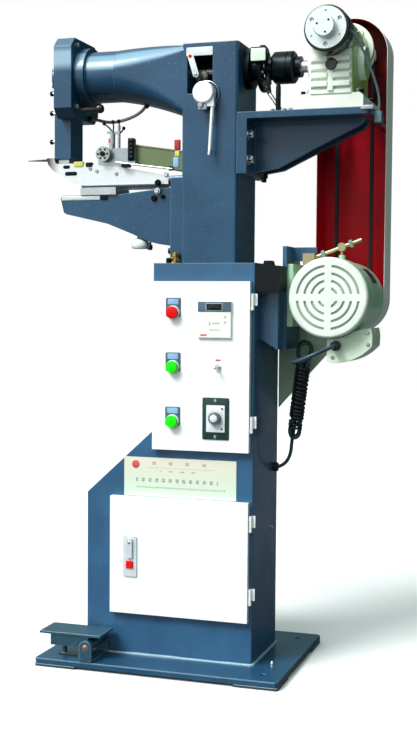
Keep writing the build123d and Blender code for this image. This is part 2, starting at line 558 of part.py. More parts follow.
COVER_R = 84
SLOT_RADII, SLOT_W, CROSS_W = (65, 49.5, 34.5, 19.5), 5, 15
with BuildPart() as fan_cover:
    rod_y((-80, -8), COVER_R, DRIVE_X, MOTOR_Z)
    fillet(fan_cover.edges().sort_by(Axis.Y)[0], 6)
    rod_y((-78, -7), COVER_R - 2, DRIVE_X, MOTOR_Z, Mode.SUBTRACT)
    with BuildSketch(Plane.XZ.offset(81)):
        with Locations((DRIVE_X, MOTOR_Z)):
            for radius in SLOT_RADII:
                Circle(radius + SLOT_W / 2)
                Circle(radius - SLOT_W / 2, mode=Mode.SUBTRACT)
            Rectangle(CROSS_W, 2 * COVER_R, mode=Mode.SUBTRACT)
            Rectangle(2 * COVER_R, CROSS_W, mode=Mode.SUBTRACT)
    extrude(amount=-5, mode=Mode.SUBTRACT)
    with BuildSketch(Plane.XZ.offset(8)):
        with Locations((DRIVE_X, MOTOR_Z)):
            Circle(COVER_R - 1)
            Circle(MOTOR_R + SEAT, mode=Mode.SUBTRACT)
    extrude(amount=4)
keep(fan_cover, "fan_cover")

with BuildPart() as motor_rotor:
    rod_y((-62, 204), MOTOR_SHAFT_R, DRIVE_X, MOTOR_Z)
    rod_y((14, 104), 46, DRIVE_X, MOTOR_Z)
    rod_y((-62, -30), 16, DRIVE_X, MOTOR_Z)
    rod_y((-34, -30), 66, DRIVE_X, MOTOR_Z)
    with BuildSketch(Plane.XZ.offset(34)):
        with Locations((DRIVE_X, MOTOR_Z)):
            with PolarLocations(40, 8):
                Rectangle(50, 3)
    extrude(amount=26)
keep(motor_rotor, "motor_rotor")

BOX_Y = (-50, 42)
with BuildPart() as terminal_box:
    with BuildSketch(Plane.XZ.offset(-BOX_Y[1])):
        with BuildLine():
            Polyline((346, 664), (333, 668), (333, 716), (352, 724), (426, 738), (429, 722), (428, 700))
            ThreePointArc((428, 700), (394, 674), (346, 664))
        make_face()
    extrude(amount=BOX_Y[1] - BOX_Y[0])
    fillet(terminal_box.edges().filter_by(Axis.Y).group_by(Axis.X)[0], 3)
    rod_y((BOX_Y[0] - 1, -6), 84 + 1, DRIVE_X, MOTOR_Z, Mode.SUBTRACT)
    rod_y((-7, BOX_Y[1] + 1), MOTOR_R + SEAT, DRIVE_X, MOTOR_Z, Mode.SUBTRACT)
keep(terminal_box, "terminal_box")

TAIL_GLAND = (66, 424)             # y and z of the gland on the pedestal side
with BuildPart() as cable_gland:
    rod_y((BOX_Y[0] - 16, BOX_Y[0]), 10, 353, 700)
    rod_y((BOX_Y[0] - 24, BOX_Y[0] - 16), 7.5, 353, 700)
    rod_x((PED_RIGHT, PED_RIGHT + 10), 10, *TAIL_GLAND)
keep(cable_gland, "cable_gland")

# ---------------------------------------------------------------- motor bracket
with BuildPart() as motor_bracket:
    span((228, 237), (-22, 96), (690, 910))
    span((237, 288), (40, 48), (880, 910))
    profile_y([(PED_RIGHT, 712), (229, 690), (229, 812), (PED_RIGHT, 800)], (-60, -54))
    profile_y([(PED_RIGHT, 712), (229, 690), (229, 812), (PED_RIGHT, 800)], (60, 66))
    span((PED_RIGHT, PED_RIGHT + 6), (-60, 66), (712, 800))
    span((223, 229), (-60, 66), (690, 812))
    with BuildSketch(Plane.YZ.offset(222)):
        with Locations((-8, 758), (-8, 862)):
            SlotOverall(22, 9, rotation=90)
    extrude(amount=16, mode=Mode.SUBTRACT)
keep(motor_bracket, "motor_bracket")

with BuildPart() as cradle_plate:
    span((237, 250), (-16, 106), (738, 872))
    profile_y([(192, 737), (192, 576), (306, 690), (306, 712), (264, 737)], (100, 106))
    span((237, 250), (98, 106), (700, 738))
keep(cradle_plate, "cradle_plate")

with BuildPart() as tension_rod:
    with BuildLine():
        Line((276, 30, 884), (388, 30, 925))
    with BuildSketch(Plane((276, 30, 884), z_dir=(112, 0, 41))):
        Circle(4)
    sweep()
    rod_y((22, 38), 9, 346, 909.6)
    rod_z((892, 906), 4, 346, 30)
    span((262, 288), (18, 40), (872, 896))
keep(tension_rod, "tension_rod")

with BuildPart() as switch_box:
    span((PED_RIGHT, PED_RIGHT + 53), (-96, -40), (812, 866))
    fillet(switch_box.edges().filter_by(Axis.Y), 4)
    profile_y([(199, 865), (203, 877), (218, 877), (222, 865)], (-80, -56))
keep(switch_box, "switch_box")

with BuildPart() as inverter:
    span((0, 130), (60, 94), (560, 780))
    span((8, 122), (4, 60), (600, 760))
keep(inverter, "inverter")

# ---------------------------------------------------------------- bolts
with BuildPart() as casting_bolts:
    for y in (-64, 64):
        for z in (1090, 1142):
            rod_x((COL_RIGHT + 22, COL_RIGHT + 30), 7.5, y, z)
    for y in (-46, 46):
        for z in (900, 1050):
            rod_x((-22, -14), 6.5, y, z)
    for y in (-62, 62):
        for x in (280, 400):
            rod_z((1218, 1226), 6, x, y)
keep(casting_bolts, "casting_bolts")


# ---------------------------------------------------------------- hose, lead and cable
def soft_tube(points, diameter):
    """Straight runs joined by arcs as large as the shorter run allows; prints the radii."""
    vectors = [Vector(*p) for p in points]
    runs = [b - a for a, b in zip(vectors, vectors[1:])]
    radii = [0.45 * min(a.length, b.length) / tan(radians(a.get_angle(b)) / 2)
             for a, b in zip(runs, runs[1:])]
    print("radii", [round(r, 1) for r in radii])
    with BuildLine() as route:
        FilletPolyline(*points, radius=radii)
    with BuildSketch(Plane(points[0], z_dir=tuple(runs[0]))) as section:
        Circle(diameter / 2)
    sweep(section.sketch, path=route.line)
    return round(sum(edge.length for edge in route.edges()), 1)


CABLE_ROUTE = [(353, -74, 700), (353, -99, 699), (341, -120, 695), (320, -132, 688), (296, -132, 681),
               (275, -120, 675), (262, -99, 671), (258, -74, 669), (260, -46, 670), (264, -18, 668),
               (262, 10, 667), (258, 36, 668)]
TAIL_ROUTE = [(228, 74, 478), (227, 73, 458), (221, 71, 440), (210, 68, 428), (199, 66, 424)]
with BuildPart() as motor_cable:
    print("cable", soft_tube(CABLE_ROUTE, CABLE_D))
    print("tail", soft_tube(TAIL_ROUTE, CABLE_D))
keep(motor_cable, "motor_cable")

with BuildPart() as cable_hank:
    for x, y, z, width, depth in ((262, 52, 690, 34, 32), (250, 58, 600, 38, 34), (232, 70, 478, 24, 24)):
        with BuildSketch(Plane.XY.offset(z)):
            with Locations((x, y)):
                Ellipse(width / 2, depth / 2)
    loft()
keep(cable_hank, "cable_hank")

LEAD_ROUTE = [(385, -106, 1338), (392, -98, 1330), (400, -88, 1316), (408, -76, 1296), (417, -62, 1272),
              (425, -50, 1248), (431, -40, 1224), (433, -34, 1203), (431, -32, 1184)]
with BuildPart() as brake_lead:
    print("lead", soft_tube(LEAD_ROUTE, LEAD_D))
    span((424, 438), (-40, -24), (1162, 1184))
keep(brake_lead, "brake_lead")

HOSE_ROUTE = [(-242, 20, 1203), (-220, 19, 1200), (-196, 12, 1193), (-168, 2, 1190), (-138, -6, 1194),
              (-114, -9, 1202), (-98, -12, 1211), (-87, -12, 1225)]
with BuildPart() as oil_hose:
    print("hose", soft_tube(HOSE_ROUTE, HOSE_D))
keep(oil_hose, "oil_hose")
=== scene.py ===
import math

import bmesh
import bpy
import numpy as np
from mathutils import Matrix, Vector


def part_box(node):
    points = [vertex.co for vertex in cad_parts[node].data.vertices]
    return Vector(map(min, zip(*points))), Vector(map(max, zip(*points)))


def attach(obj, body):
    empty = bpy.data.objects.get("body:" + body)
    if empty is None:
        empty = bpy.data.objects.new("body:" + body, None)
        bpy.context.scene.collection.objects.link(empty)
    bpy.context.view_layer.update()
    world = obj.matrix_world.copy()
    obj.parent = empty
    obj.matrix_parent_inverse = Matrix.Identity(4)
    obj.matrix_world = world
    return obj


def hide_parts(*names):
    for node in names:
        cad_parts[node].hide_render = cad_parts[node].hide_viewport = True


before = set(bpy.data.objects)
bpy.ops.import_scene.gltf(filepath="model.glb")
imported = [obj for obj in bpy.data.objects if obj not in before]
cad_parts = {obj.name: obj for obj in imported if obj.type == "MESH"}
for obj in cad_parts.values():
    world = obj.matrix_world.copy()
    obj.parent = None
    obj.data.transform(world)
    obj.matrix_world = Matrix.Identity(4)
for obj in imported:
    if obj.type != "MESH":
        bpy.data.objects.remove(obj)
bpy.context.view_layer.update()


# ------------------------------------------------------------------ studio
# A wide pale floor under a soft sun from the front left, and a dome that is bright above and to the
# left and dim on the right, so each casting shows one lit face and one shaded face.
def linear(colour):
    """An sRGB hex value such as "#3d5b77" as four linear numbers."""
    value = [int(colour[i:i + 2], 16) / 255 for i in (1, 3, 5)]
    return [v / 12.92 if v <= 0.04045 else ((v + 0.055) / 1.055) ** 2.4 for v in value] + [1.0]


def add(tree, kind, inputs=None, **settings):
    """Adds one shader node, sets its settings, and gives each input a value or a link."""
    node = tree.nodes.new("ShaderNode" + kind)
    for name, value in settings.items():
        setattr(node, name, value)
    for name, value in (inputs or {}).items():
        socket = node.inputs[name]
        if isinstance(value, bpy.types.NodeSocket):
            tree.links.new(value, socket)
        else:
            socket.default_value = value
    return node


def paint_grid(name, grid, wrap=False, loop=False, crease=35):
    """A grid of points in mm, rows by columns, as a mesh in metres. wrap joins the last column to the
    first; then loop joins the last row to the first too, and without it each end row is closed by a
    fan round its middle. Edges sharper than crease degrees stay crisp."""
    rows, columns = grid.shape[:2]
    points = grid.reshape(-1, 3) / 1000
    index = np.arange(rows * columns).reshape(rows, columns)
    if loop:
        index = np.vstack([index, index[:1]])
    if wrap:
        index = np.hstack([index, index[:, :1]])
    quads = np.stack([index[:-1, :-1], index[:-1, 1:], index[1:, 1:], index[1:, :-1]], -1).reshape(-1, 4)
    faces = quads.tolist()
    if wrap and not loop:
        middles = np.array([grid[0].mean(0), grid[-1].mean(0)]) / 1000
        points = np.vstack([points, middles])
        for ring, middle in ((index[0], len(points) - 2), (index[-1], len(points) - 1)):
            faces += np.stack([ring[:-1], ring[1:], np.full(len(ring) - 1, middle)], -1).tolist()
    mesh = bpy.data.meshes.new(name)
    mesh.from_pydata(points.tolist(), [], faces)
    if wrap:
        closed = bmesh.new()
        closed.from_mesh(mesh)
        bmesh.ops.remove_doubles(closed, verts=closed.verts, dist=1e-6)
        bmesh.ops.recalc_face_normals(closed, faces=closed.faces)
        closed.to_mesh(mesh)
        closed.free()
    mesh.shade_smooth()
    mesh.set_sharp_from_angle(angle=math.radians(crease))
    piece = bpy.data.objects.new(name, mesh)
    bpy.context.scene.collection.objects.link(piece)
    return piece


reach = np.linspace(-9000, 9000, 7)
floor = paint_grid("studio_floor", np.stack(np.meshgrid(reach, reach) + [np.zeros((7, 7))], -1))
floor_paint = bpy.data.materials.new("matt_white_floor")
floor_paint.use_nodes = True
tree = floor_paint.node_tree
smudge = add(tree, "TexNoise", {"Vector": add(tree, "TexCoord").outputs["Object"], "Scale": 1.5})
shade = add(tree, "Mix", {0: smudge.outputs[0], 6: linear("#eeefee"), 7: linear("#f3f3f2")}, data_type="RGBA")
# Only its look from the camera is pale: it throws little light back, so the undersides stay dark.
looked_at = add(tree, "LightPath").outputs["Is Camera Ray"]
thrown = add(tree, "Mix", {0: looked_at, 6: linear("#585c60"), 7: shade.outputs[2]}, data_type="RGBA")
tree.links.new(thrown.outputs[2], tree.nodes["Principled BSDF"].inputs["Base Color"])
tree.nodes["Principled BSDF"].inputs["Roughness"].default_value = 0.9
floor.data.materials.append(floor_paint)

world = bpy.data.worlds.new("soft_dome")
bpy.context.scene.world = world
world.use_nodes = True
tree = world.node_tree
toward = add(tree, "TexCoord").outputs["Generated"]
side = add(tree, "VectorMath", {0: toward, 1: (-0.66, -0.46, 0.6)}, operation="DOT_PRODUCT")
dome = add(tree, "MapRange", {"Value": side.outputs["Value"], "From Min": -0.25, "From Max": 1.0,
                              "To Min": 0.06, "To Max": 1.3})
cast = add(tree, "Mix", {0: dome.outputs[0], 6: (0.6, 1.0, 0.9, 1), 7: (0.93, 1, 1, 1)}, data_type="RGBA")
# One large soft lamp up to the left of the camera draws the long highlights on the round castings.
lamp_side = add(tree, "VectorMath", {0: toward, 1: (-0.3, -0.6, 0.742)}, operation="DOT_PRODUCT")
lamp = add(tree, "MapRange", {"Value": lamp_side.outputs["Value"], "From Min": 0.93, "From Max": 0.98,
                              "To Min": 0.0, "To Max": 4.5}, interpolation_type="SMOOTHSTEP")
glow = add(tree, "Math", {0: dome.outputs[0], 1: lamp.outputs[0]}, operation="ADD")
seen = add(tree, "LightPath").outputs["Is Camera Ray"]
power = add(tree, "Mix", {0: seen, 2: glow.outputs[0], 3: 1.0})
tree.links.new(power.outputs[0], tree.nodes["Background"].inputs["Strength"])
plain = add(tree, "Mix", {0: seen, 6: cast.outputs[2], 7: (1, 1, 1, 1)}, data_type="RGBA")
tree.links.new(plain.outputs[2], tree.nodes["Background"].inputs["Color"])

sun = bpy.data.lights.new("soft_sun", "SUN")
sun.energy, sun.angle = 2.2, math.radians(20)
sun_stand = bpy.data.objects.new("soft_sun", sun)
sun_stand.rotation_euler = (math.radians(42), 0, math.radians(-34))
bpy.context.scene.collection.objects.link(sun_stand)
bpy.context.scene.view_settings.view_transform = "Standard"

# The camera stands 2.6 m in front at chest height, turned 18 degrees, almost level.
azimuth, pitch, roll = (math.radians(a) for a in (18.12, 3.23, 0.44))
ahead = np.array([-math.sin(azimuth) * math.cos(pitch), math.cos(azimuth) * math.cos(pitch),
                  -math.sin(pitch)])
level = np.array([math.cos(azimuth), math.sin(azimuth), 0])
above = np.cross(level, ahead)
right = level * math.cos(roll) + above * math.sin(roll)
up = above * math.cos(roll) - level * math.sin(roll)
lens = bpy.data.cameras.new("camera")
lens.lens, lens.sensor_width = 58.55, 36
camera = bpy.data.objects.new("camera", lens)
camera.matrix_world = Matrix.Translation((0.8934, -2.5588, 0.7798)) @ Matrix(
    [[right[k], up[k], -ahead[k]] for k in range(3)]).to_4x4()
bpy.context.scene.collection.objects.link(camera)
bpy.context.scene.camera = camera


def start_finish(name, slot, roughness, metallic=0.0, **sockets):
    """Starts a finish: its material, node tree, shader with constant values, and metre coordinates."""
    material = bpy.data.materials.new(name)
    material.use_nodes = True
    tree = material.node_tree
    shader = tree.nodes["Principled BSDF"]
    shader.inputs["Roughness"].default_value = roughness
    shader.inputs["Metallic"].default_value = metallic
    for socket, value in sockets.items():
        shader.inputs[socket.replace("_", " ")].default_value = value
    return material, tree, shader, add(tree, "TexCoord").outputs["Object"]


def enamel(name, slot, colour, worn, peel_mm=5.0, roughness=0.36, wear=0.45):
    """Sprayed enamel on steel or iron: cloudy colour over 90 mm, an orange-peel skin, dust specks of
    6 mm, and the worn colour along edges, where the film is thin. The peel is drawn coarser than the
    real 1 mm so that it shows."""
    material, tree, shader, place = start_finish(name, slot, roughness, Coat_Weight=0.3, Coat_Roughness=0.08)
    cloud = add(tree, "TexNoise", {"Vector": place, "Scale": 1000 / 90, "Detail": 3.0})
    tone = add(tree, "MapRange", {"Value": cloud.outputs[0], "From Min": 0.3, "From Max": 0.7,
                                  "To Min": 0.86, "To Max": 1.16})
    body = add(tree, "VectorMath", {0: linear(colour)[:3], 3: tone.outputs[0]}, operation="SCALE")
    speck = add(tree, "TexNoise", {"Vector": place, "Scale": 1000 / 6, "Detail": 2.0})
    dust = add(tree, "MapRange", {"Value": speck.outputs[0], "From Min": 0.62, "From Max": 0.74,
                                  "To Min": 0.0, "To Max": 0.14})
    soft = add(tree, "Bevel", {"Radius": 0.0028}, samples=4)
    flat = add(tree, "NewGeometry")
    bend = add(tree, "VectorMath", {0: soft.outputs[0], 1: flat.outputs["Normal"]}, operation="DOT_PRODUCT")
    edge = add(tree, "MapRange", {"Value": bend.outputs["Value"], "From Min": 0.995, "From Max": 0.86,
                                  "To Min": 0.0, "To Max": wear})
    rub = add(tree, "Math", {0: edge.outputs[0], 1: dust.outputs[0]}, operation="MAXIMUM")
    mixed = add(tree, "Mix", {0: rub.outputs[0], 6: body.outputs[0], 7: linear(worn)}, data_type="RGBA")
    tree.links.new(mixed.outputs[2], shader.inputs["Base Color"])
    peel = add(tree, "TexNoise", {"Vector": place, "Scale": 1000 / peel_mm, "Detail": 1.0})
    skin = add(tree, "Bump", {"Height": peel.outputs[0], "Strength": 0.12, "Distance": 0.0006,
                              "Normal": soft.outputs[0]})
    tree.links.new(skin.outputs[0], shader.inputs["Normal"])
    gloss = add(tree, "MapRange", {"Value": cloud.outputs[0], "From Min": 0.3, "From Max": 0.7,
                                   "To Min": roughness - 0.06, "To Max": roughness + 0.1})
    tree.links.new(gloss.outputs[0], shader.inputs["Roughness"])
    return material


def tinted(material, share, colour):
    """Mixes a finish's own colour toward another one, by a share from 0 to 1."""
    tree = material.node_tree
    base = tree.nodes["Principled BSDF"].inputs["Base Color"]
    mixed = add(tree, "Mix", {0: share, 6: base.links[0].from_socket, 7: linear(colour)}, data_type="RGBA")
    tree.links.new(mixed.outputs[2], base)


def facing(material, toward, start, end, most=1.0):
    """How far a surface faces a direction, as a share that grows from one cosine to another."""
    tree = material.node_tree
    side = add(tree, "VectorMath", {0: add(tree, "NewGeometry").outputs["Normal"], 1: toward},
               operation="DOT_PRODUCT")
    share = add(tree, "MapRange", {"Value": side.outputs["Value"], "From Min": start, "From Max": end,
                                   "To Max": most}, interpolation_type="SMOOTHSTEP")
    return share.outputs[0]


def moulded(name, slot, colour, grain_mm=1.6, roughness=0.5, depth=0.15, bloom=0.12, **sockets):
    """Moulded rubber or plastic: a spark-eroded grain and a faint handling bloom over 40 mm."""
    material, tree, shader, place = start_finish(name, slot, roughness, **sockets)
    cloud = add(tree, "TexNoise", {"Vector": place, "Scale": 1000 / 40, "Detail": 4.0})
    tone = add(tree, "MapRange", {"Value": cloud.outputs[0], "From Min": 0.3, "From Max": 0.7,
                                  "To Min": 1 - bloom, "To Max": 1 + bloom})
    body = add(tree, "VectorMath", {0: linear(colour)[:3], 3: tone.outputs[0]}, operation="SCALE")
    tree.links.new(body.outputs[0], shader.inputs["Base Color"])
    grain = add(tree, "TexNoise", {"Vector": place, "Scale": 1000 / grain_mm, "Detail": 2.0})
    skin = add(tree, "Bump", {"Height": grain.outputs[0], "Strength": depth, "Distance": 0.0004})
    tree.links.new(skin.outputs[0], shader.inputs["Normal"])
    gloss = add(tree, "MapRange", {"Value": cloud.outputs[0], "From Min": 0.3, "From Max": 0.7,
                                   "To Min": roughness - 0.08, "To Max": roughness + 0.08})
    tree.links.new(gloss.outputs[0], shader.inputs["Roughness"])
    return material


def metal(name, slot, colour, roughness=0.3, line_mm=1.2, along=(1, 1, 1), stain=0.18):
    """Bare or plated metal: grinding lines about line_mm apart, drawn coarser than the real 0.1 mm so
    that they show, stretched by the along scales, and a handling stain over 30 mm."""
    material, tree, shader, place = start_finish(name, slot, roughness, 1.0)
    drawn = add(tree, "Mapping", {"Vector": place, "Scale": along})
    lines = add(tree, "TexNoise", {"Vector": drawn.outputs[0], "Scale": 1000 / line_mm, "Detail": 2.0})
    hand = add(tree, "TexNoise", {"Vector": place, "Scale": 1000 / 30, "Detail": 5.0})
    tone = add(tree, "MapRange", {"Value": hand.outputs[0], "From Min": 0.35, "From Max": 0.7,
                                  "To Min": 1.0, "To Max": 1.0 - stain})
    body = add(tree, "VectorMath", {0: linear(colour)[:3], 3: tone.outputs[0]}, operation="SCALE")
    tree.links.new(body.outputs[0], shader.inputs["Base Color"])
    gloss = add(tree, "MapRange", {"Value": lines.outputs[0], "From Min": 0.3, "From Max": 0.7,
                                   "To Min": max(roughness - 0.08, 0.04), "To Max": roughness + 0.1})
    tree.links.new(gloss.outputs[0], shader.inputs["Roughness"])
    skin = add(tree, "Bump", {"Height": lines.outputs[0], "Strength": 0.1, "Distance": 0.0002})
    tree.links.new(skin.outputs[0], shader.inputs["Normal"])
    return material


def dress(material, *nodes):
    """Gives CAD nodes a finish in place of the plain one they came with."""
    for name in nodes:
        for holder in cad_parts[name].material_slots:
            holder.material = material


def fit(piece, material, body="frame"):
    """Paints a piece and fixes it to a body."""
    piece.data.materials.append(material)
    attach(piece, body)
    return piece


FRONT, UP, RIGHT, LEFT = (0, -1, 0), (0, 0, 1), (1, 0, 0), (-1, 0, 0)


def turned(name, outline, centre, axis, material, body="frame", sides=40, loop=False):
    """An outline of (radius, height) points in mm carried round an axis through centre. Six sides give
    a hexagon across its corners, and loop closes the outline into a ring."""
    outline = np.array(outline, float)
    axis = np.array(axis, float) / np.linalg.norm(axis)
    first = np.cross(axis, (0.31, 0.87, 0.39))
    first /= np.linalg.norm(first)
    angle = np.linspace(0, 2 * np.pi, sides, endpoint=False)
    spoke = np.cos(angle)[:, None] * first + np.sin(angle)[:, None] * np.cross(axis, first)
    grid = (np.array(centre, float) + outline[:, None, :1] * spoke[None] + outline[:, None, 1:] * axis)
    return fit(paint_grid(name, grid, wrap=True, loop=loop), material, body)


def carried(name, path, radius, material, sides=10, across=(0, 1, 0), loop=False):
    """A round section carried along a path of points in mm: path + radius (cos a sideways + sin a other),
    where sideways is square to the path and to the across direction. The radius may change on the way."""
    path = np.array(path, float)
    ahead = np.roll(path, -1, 0) - np.roll(path, 1, 0) if loop else np.gradient(path, axis=0)
    ahead /= np.linalg.norm(ahead, axis=1)[:, None]
    sideways = np.cross(ahead, np.array(across, float))
    sideways /= np.linalg.norm(sideways, axis=1)[:, None]
    other = np.cross(sideways, ahead)
    angle = np.linspace(0, 2 * np.pi, sides, endpoint=False)
    radius = np.broadcast_to(np.asarray(radius, float), len(path))[:, None, None]
    ring = (np.cos(angle)[None, :, None] * sideways[:, None] +
            np.sin(angle)[None, :, None] * other[:, None])
    return fit(paint_grid(name, path[:, None] + radius * ring, wrap=True, loop=loop), material)


def slab(name, low, high, material, body="frame", corner=1.0, edge=0.3):
    """A plate between two corners in mm. Its outline in x and z is a rectangle with round corners, and
    both rims along y are rounded over a quarter circle of the edge radius."""
    order = [0, 2, 1]
    low, high = np.array(low, float)[order], np.array(high, float)[order]
    turn = np.linspace(0, np.pi / 2, 4)
    inset = edge * (1 - np.concatenate([np.sin(turn), np.sin(turn[::-1])]))
    height = np.concatenate([low[2] + edge * (1 - np.cos(turn)), high[2] - edge * (1 - np.cos(turn[::-1]))])
    around = (np.arange(4)[:, None] * np.pi / 2 + np.linspace(0, np.pi / 2, 5)[None]).ravel()
    half = (high[:2] - low[:2]) / 2 - corner
    centre = (high[:2] + low[:2]) / 2
    quarter = np.repeat([[1, 1], [-1, 1], [-1, -1], [1, -1]], 5, axis=0) * half
    reach = (corner - inset)[:, None, None]
    flat = centre + quarter + reach * np.stack([np.cos(around), np.sin(around)], -1)
    grid = np.concatenate([flat, np.broadcast_to(height[:, None, None], (len(height), len(around), 1))], -1)
    return fit(paint_grid(name, grid[..., order], wrap=True, crease=50), material, body)


def corners(node):
    """The lowest and highest corner of a CAD node, in mm."""
    low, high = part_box(node)
    return np.array(low) * 1000, np.array(high) * 1000


cabinet_enamel = enamel("blue_cabinet_enamel", "blue_enamel", "#28567a", "#6f93a8")
casting_enamel = enamel("blue_casting_enamel", "blue_enamel", "#0b4263", "#7fb0c2", peel_mm=8.0)
# The castings' pale edge colour is partly real wear and partly a painted highlight. They also carry a painted
# highlight band along their upper front, and painted shade on their undersides and on their upward-facing
# tops.
tinted(casting_enamel, facing(casting_enamel, (-0.1, -0.89, 0.45), 0.915, 0.975, 0.75), "#7fa9c0")
tinted(casting_enamel, facing(casting_enamel, (0, 0.05, -1), 0.2, 0.9, 0.65), "#06141a")
tinted(casting_enamel, facing(casting_enamel, (0, 0.2, 0.98), 0.6, 0.95, 0.6), "#062c44")
pad_rubber = enamel("oversprayed_pad_rubber", "black_rubber", "#22343f", "#c9d6da", roughness=0.6, wear=1.0)
base_enamel = enamel("dark_teal_base_enamel", "blue_enamel", "#1b4968", "#7ba3b8", wear=0.7)
# The bead's pale worn colour on its ripples is partly real wear and partly a painted highlight.
weld_paint = enamel("painted_weld_bead", "blue_enamel", "#6f9db0", "#d6e6ec", peel_mm=3, wear=1.0)
zinc = metal("zinc_plated_steel", "zinc_steel", "#c9cdca", 0.34)
dress(base_enamel, "base_plate")
dress(pad_rubber, "foot_pads")
deck = corners("base_plate")[1][2]
cabinet_low, cabinet_high = corners("pedestal_shell")
weld_corner = 5
arc = np.linspace(0, np.pi / 2, 7)
swing = (np.arange(4)[:, None] * np.pi / 2 + arc).ravel()
hub = np.repeat([[cabinet_high[0], cabinet_high[1]], [cabinet_low[0], cabinet_high[1]],
                 [cabinet_low[0], cabinet_low[1]], [cabinet_high[0], cabinet_low[1]]], 7, axis=0)
hub -= np.sign(hub) * (weld_corner - 2)
outline = hub + weld_corner * np.stack([np.cos(swing), np.sin(swing)], -1)
outline = np.vstack([outline, outline[:1]])
walked = np.concatenate([[0], np.cumsum(np.linalg.norm(np.diff(outline, axis=0), axis=1))])
step = np.linspace(0, walked[-1], 900, endpoint=False)
seam = np.stack([np.interp(step, walked, outline[:, 0]), np.interp(step, walked, outline[:, 1]),
                 np.full(len(step), deck + 0.5)], -1)
ripple = 3.4 + 0.45 * np.cos(step * 2 * np.pi / 6.5) + 0.5 * np.sin(step / 37) + 0.3 * np.sin(step / 11)
carried("weld_bead", seam, ripple, weld_paint, sides=8, across=(0, 0, 1), loop=True)
turned("deck_stud", [(5, 0), (5, 3), (3.6, 5), (2.5, 7.5), (0.4, 8)], (228, -73, deck), UP, zinc)


# ------------------------------------------------------------------ motor cable
# An 8 mm flexible lead with a blue-grey sheath. It leaves the terminal-box gland forwards, loops back
# round the motor, and its spare length is folded into a hank held by a spiral of black binding tube
# before the end drops into the gland on the pedestal's side.
def sheathed(name, slot, colour):
    """Extruded PVC sheath: a soft sheen and fine drawn streaks."""
    return moulded(name, slot, colour, grain_mm=2.2, roughness=0.42, depth=0.1, Coat_Weight=0.1)


cable_sheath = sheathed("blue_grey_pvc_sheath", "cable_blue", "#2c4450")
black_sheath = sheathed("black_pvc_sheath", "cable_black", "#15191b")
CABLE_D = 8
out_of_gland = [(353, -74, 700), (353, -99, 698), (341, -120, 692), (322, -130, 683), (300, -130, 673),
                (281, -119, 667), (271, -99, 665), (267, -74, 665), (266, -46, 667), (267, -18, 669),
                (263, 8, 669), (257, 29, 663)]
off_hank = [(234, 81, 529), (229, 85, 500)]
into_pedestal = [(228, 74, 478), (227, 73, 458), (221, 71, 440), (210, 68, 428), (199, 66, 424)]
hank_top, hank_foot = np.array([262, 52, 690.0]), np.array([232, 70, 478.0])
down = (hank_foot - hank_top) / np.linalg.norm(hank_foot - hank_top)
across = np.array([0.95, 0.31, 0]) - down * (np.array([0.95, 0.31, 0]) @ down)
across /= np.linalg.norm(across)
behind = np.cross(across, down)
# Half a turn of the hank, as (how far across, how far down): squeezed in the middle, open at both ends.
half_turn = np.array([(4.7, 60), (4.7, 96), (4.7, 132), (6.5, 160), (10.5, 178), (10.5, 192), (5, 200),
                      (-5, 200), (-10.5, 192), (-10.5, 178), (-6.5, 160), (-4.7, 132), (-4.7, 96),
                      (-4.7, 60), (-7, 34), (-14, 14), (-14, -4), (-6, -13), (6, -13), (14, -4),
                      (14, 14), (7, 34)])
half_turn[:, 0] *= -1
TURNS = 3
walk = np.vstack([half_turn] * TURNS + [half_turn[:3]])
depth = np.linspace(-13, 13, len(walk))
hank = hank_top + walk[:, :1] * across + walk[:, 1:] * down + depth[:, None] * behind
line = bpy.data.curves.new("motor_lead", "CURVE")
line.dimensions, line.bevel_depth, line.bevel_resolution, line.resolution_u = "3D", CABLE_D / 2000, 4, 8
line.use_fill_caps = True
spline = line.splines.new("NURBS")
route = np.vstack([out_of_gland, hank, off_hank, into_pedestal]) / 1000
spline.points.add(len(route) - 1)
spline.points.foreach_set("co", np.hstack([route, np.ones((len(route), 1))]).ravel())
spline.order_u = 3
spline.use_endpoint_u = True
motor_lead = bpy.data.objects.new("motor_lead", line)
bpy.context.scene.collection.objects.link(motor_lead)
fit(motor_lead, cable_sheath)
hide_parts("motor_cable", "cable_hank")

# The binding runs round the strands on a rounded rectangle, one turn every 8.6 mm.
turns = np.linspace(0, 2 * np.pi * 14, 14 * 48)
drop = 36 + 8.6 * turns / (2 * np.pi) + 1.2 * np.sin(turns / 5)
wide = 12.6 * np.sign(np.cos(turns)) * np.abs(np.cos(turns)) ** 0.55
deep = 20.6 * np.sign(np.sin(turns)) * np.abs(np.sin(turns)) ** 0.55
spiral = hank_top + wide[:, None] * across + deep[:, None] * behind + drop[:, None] * down
binding = carried("hank_binding", spiral, 3.8, black_sheath, sides=10, across=tuple(down))
turns = np.linspace(0, 2 * np.pi * 2, 2 * 48)
wide = 12.8 * np.sign(np.cos(turns)) * np.abs(np.cos(turns)) ** 0.55
deep = 20.6 * np.sign(np.sin(turns)) * np.abs(np.sin(turns)) ** 0.55
spiral = (hank_top + wide[:, None] * across + deep[:, None] * behind +
          (164 + 7 * turns / (2 * np.pi))[:, None] * down)
lower_binding = carried("hank_lower_binding", spiral, 2.8, black_sheath, sides=10, across=tuple(down))
gland_rubber = moulded("black_gland_nylon", "black_plastic", "#121618", roughness=0.45)
dress(gland_rubber, "cable_gland")


# ------------------------------------------------------------------ pedestal cabinet
# Folded and welded 4 mm sheet in blue cabinet enamel, with a thick top plate. Hex bolts hold the
# motor bracket and the earth lead on its right side. The hinge barrels are powder coated white.
white_powder = moulded("white_powder_coat", "white_powder", "#fbfcfb", grain_mm=1.8, roughness=0.38,
                       bloom=0.03, Coat_Weight=0.2)
dress(cabinet_enamel, "pedestal_shell", "motor_bracket")
dress(white_powder, "door_hinges")


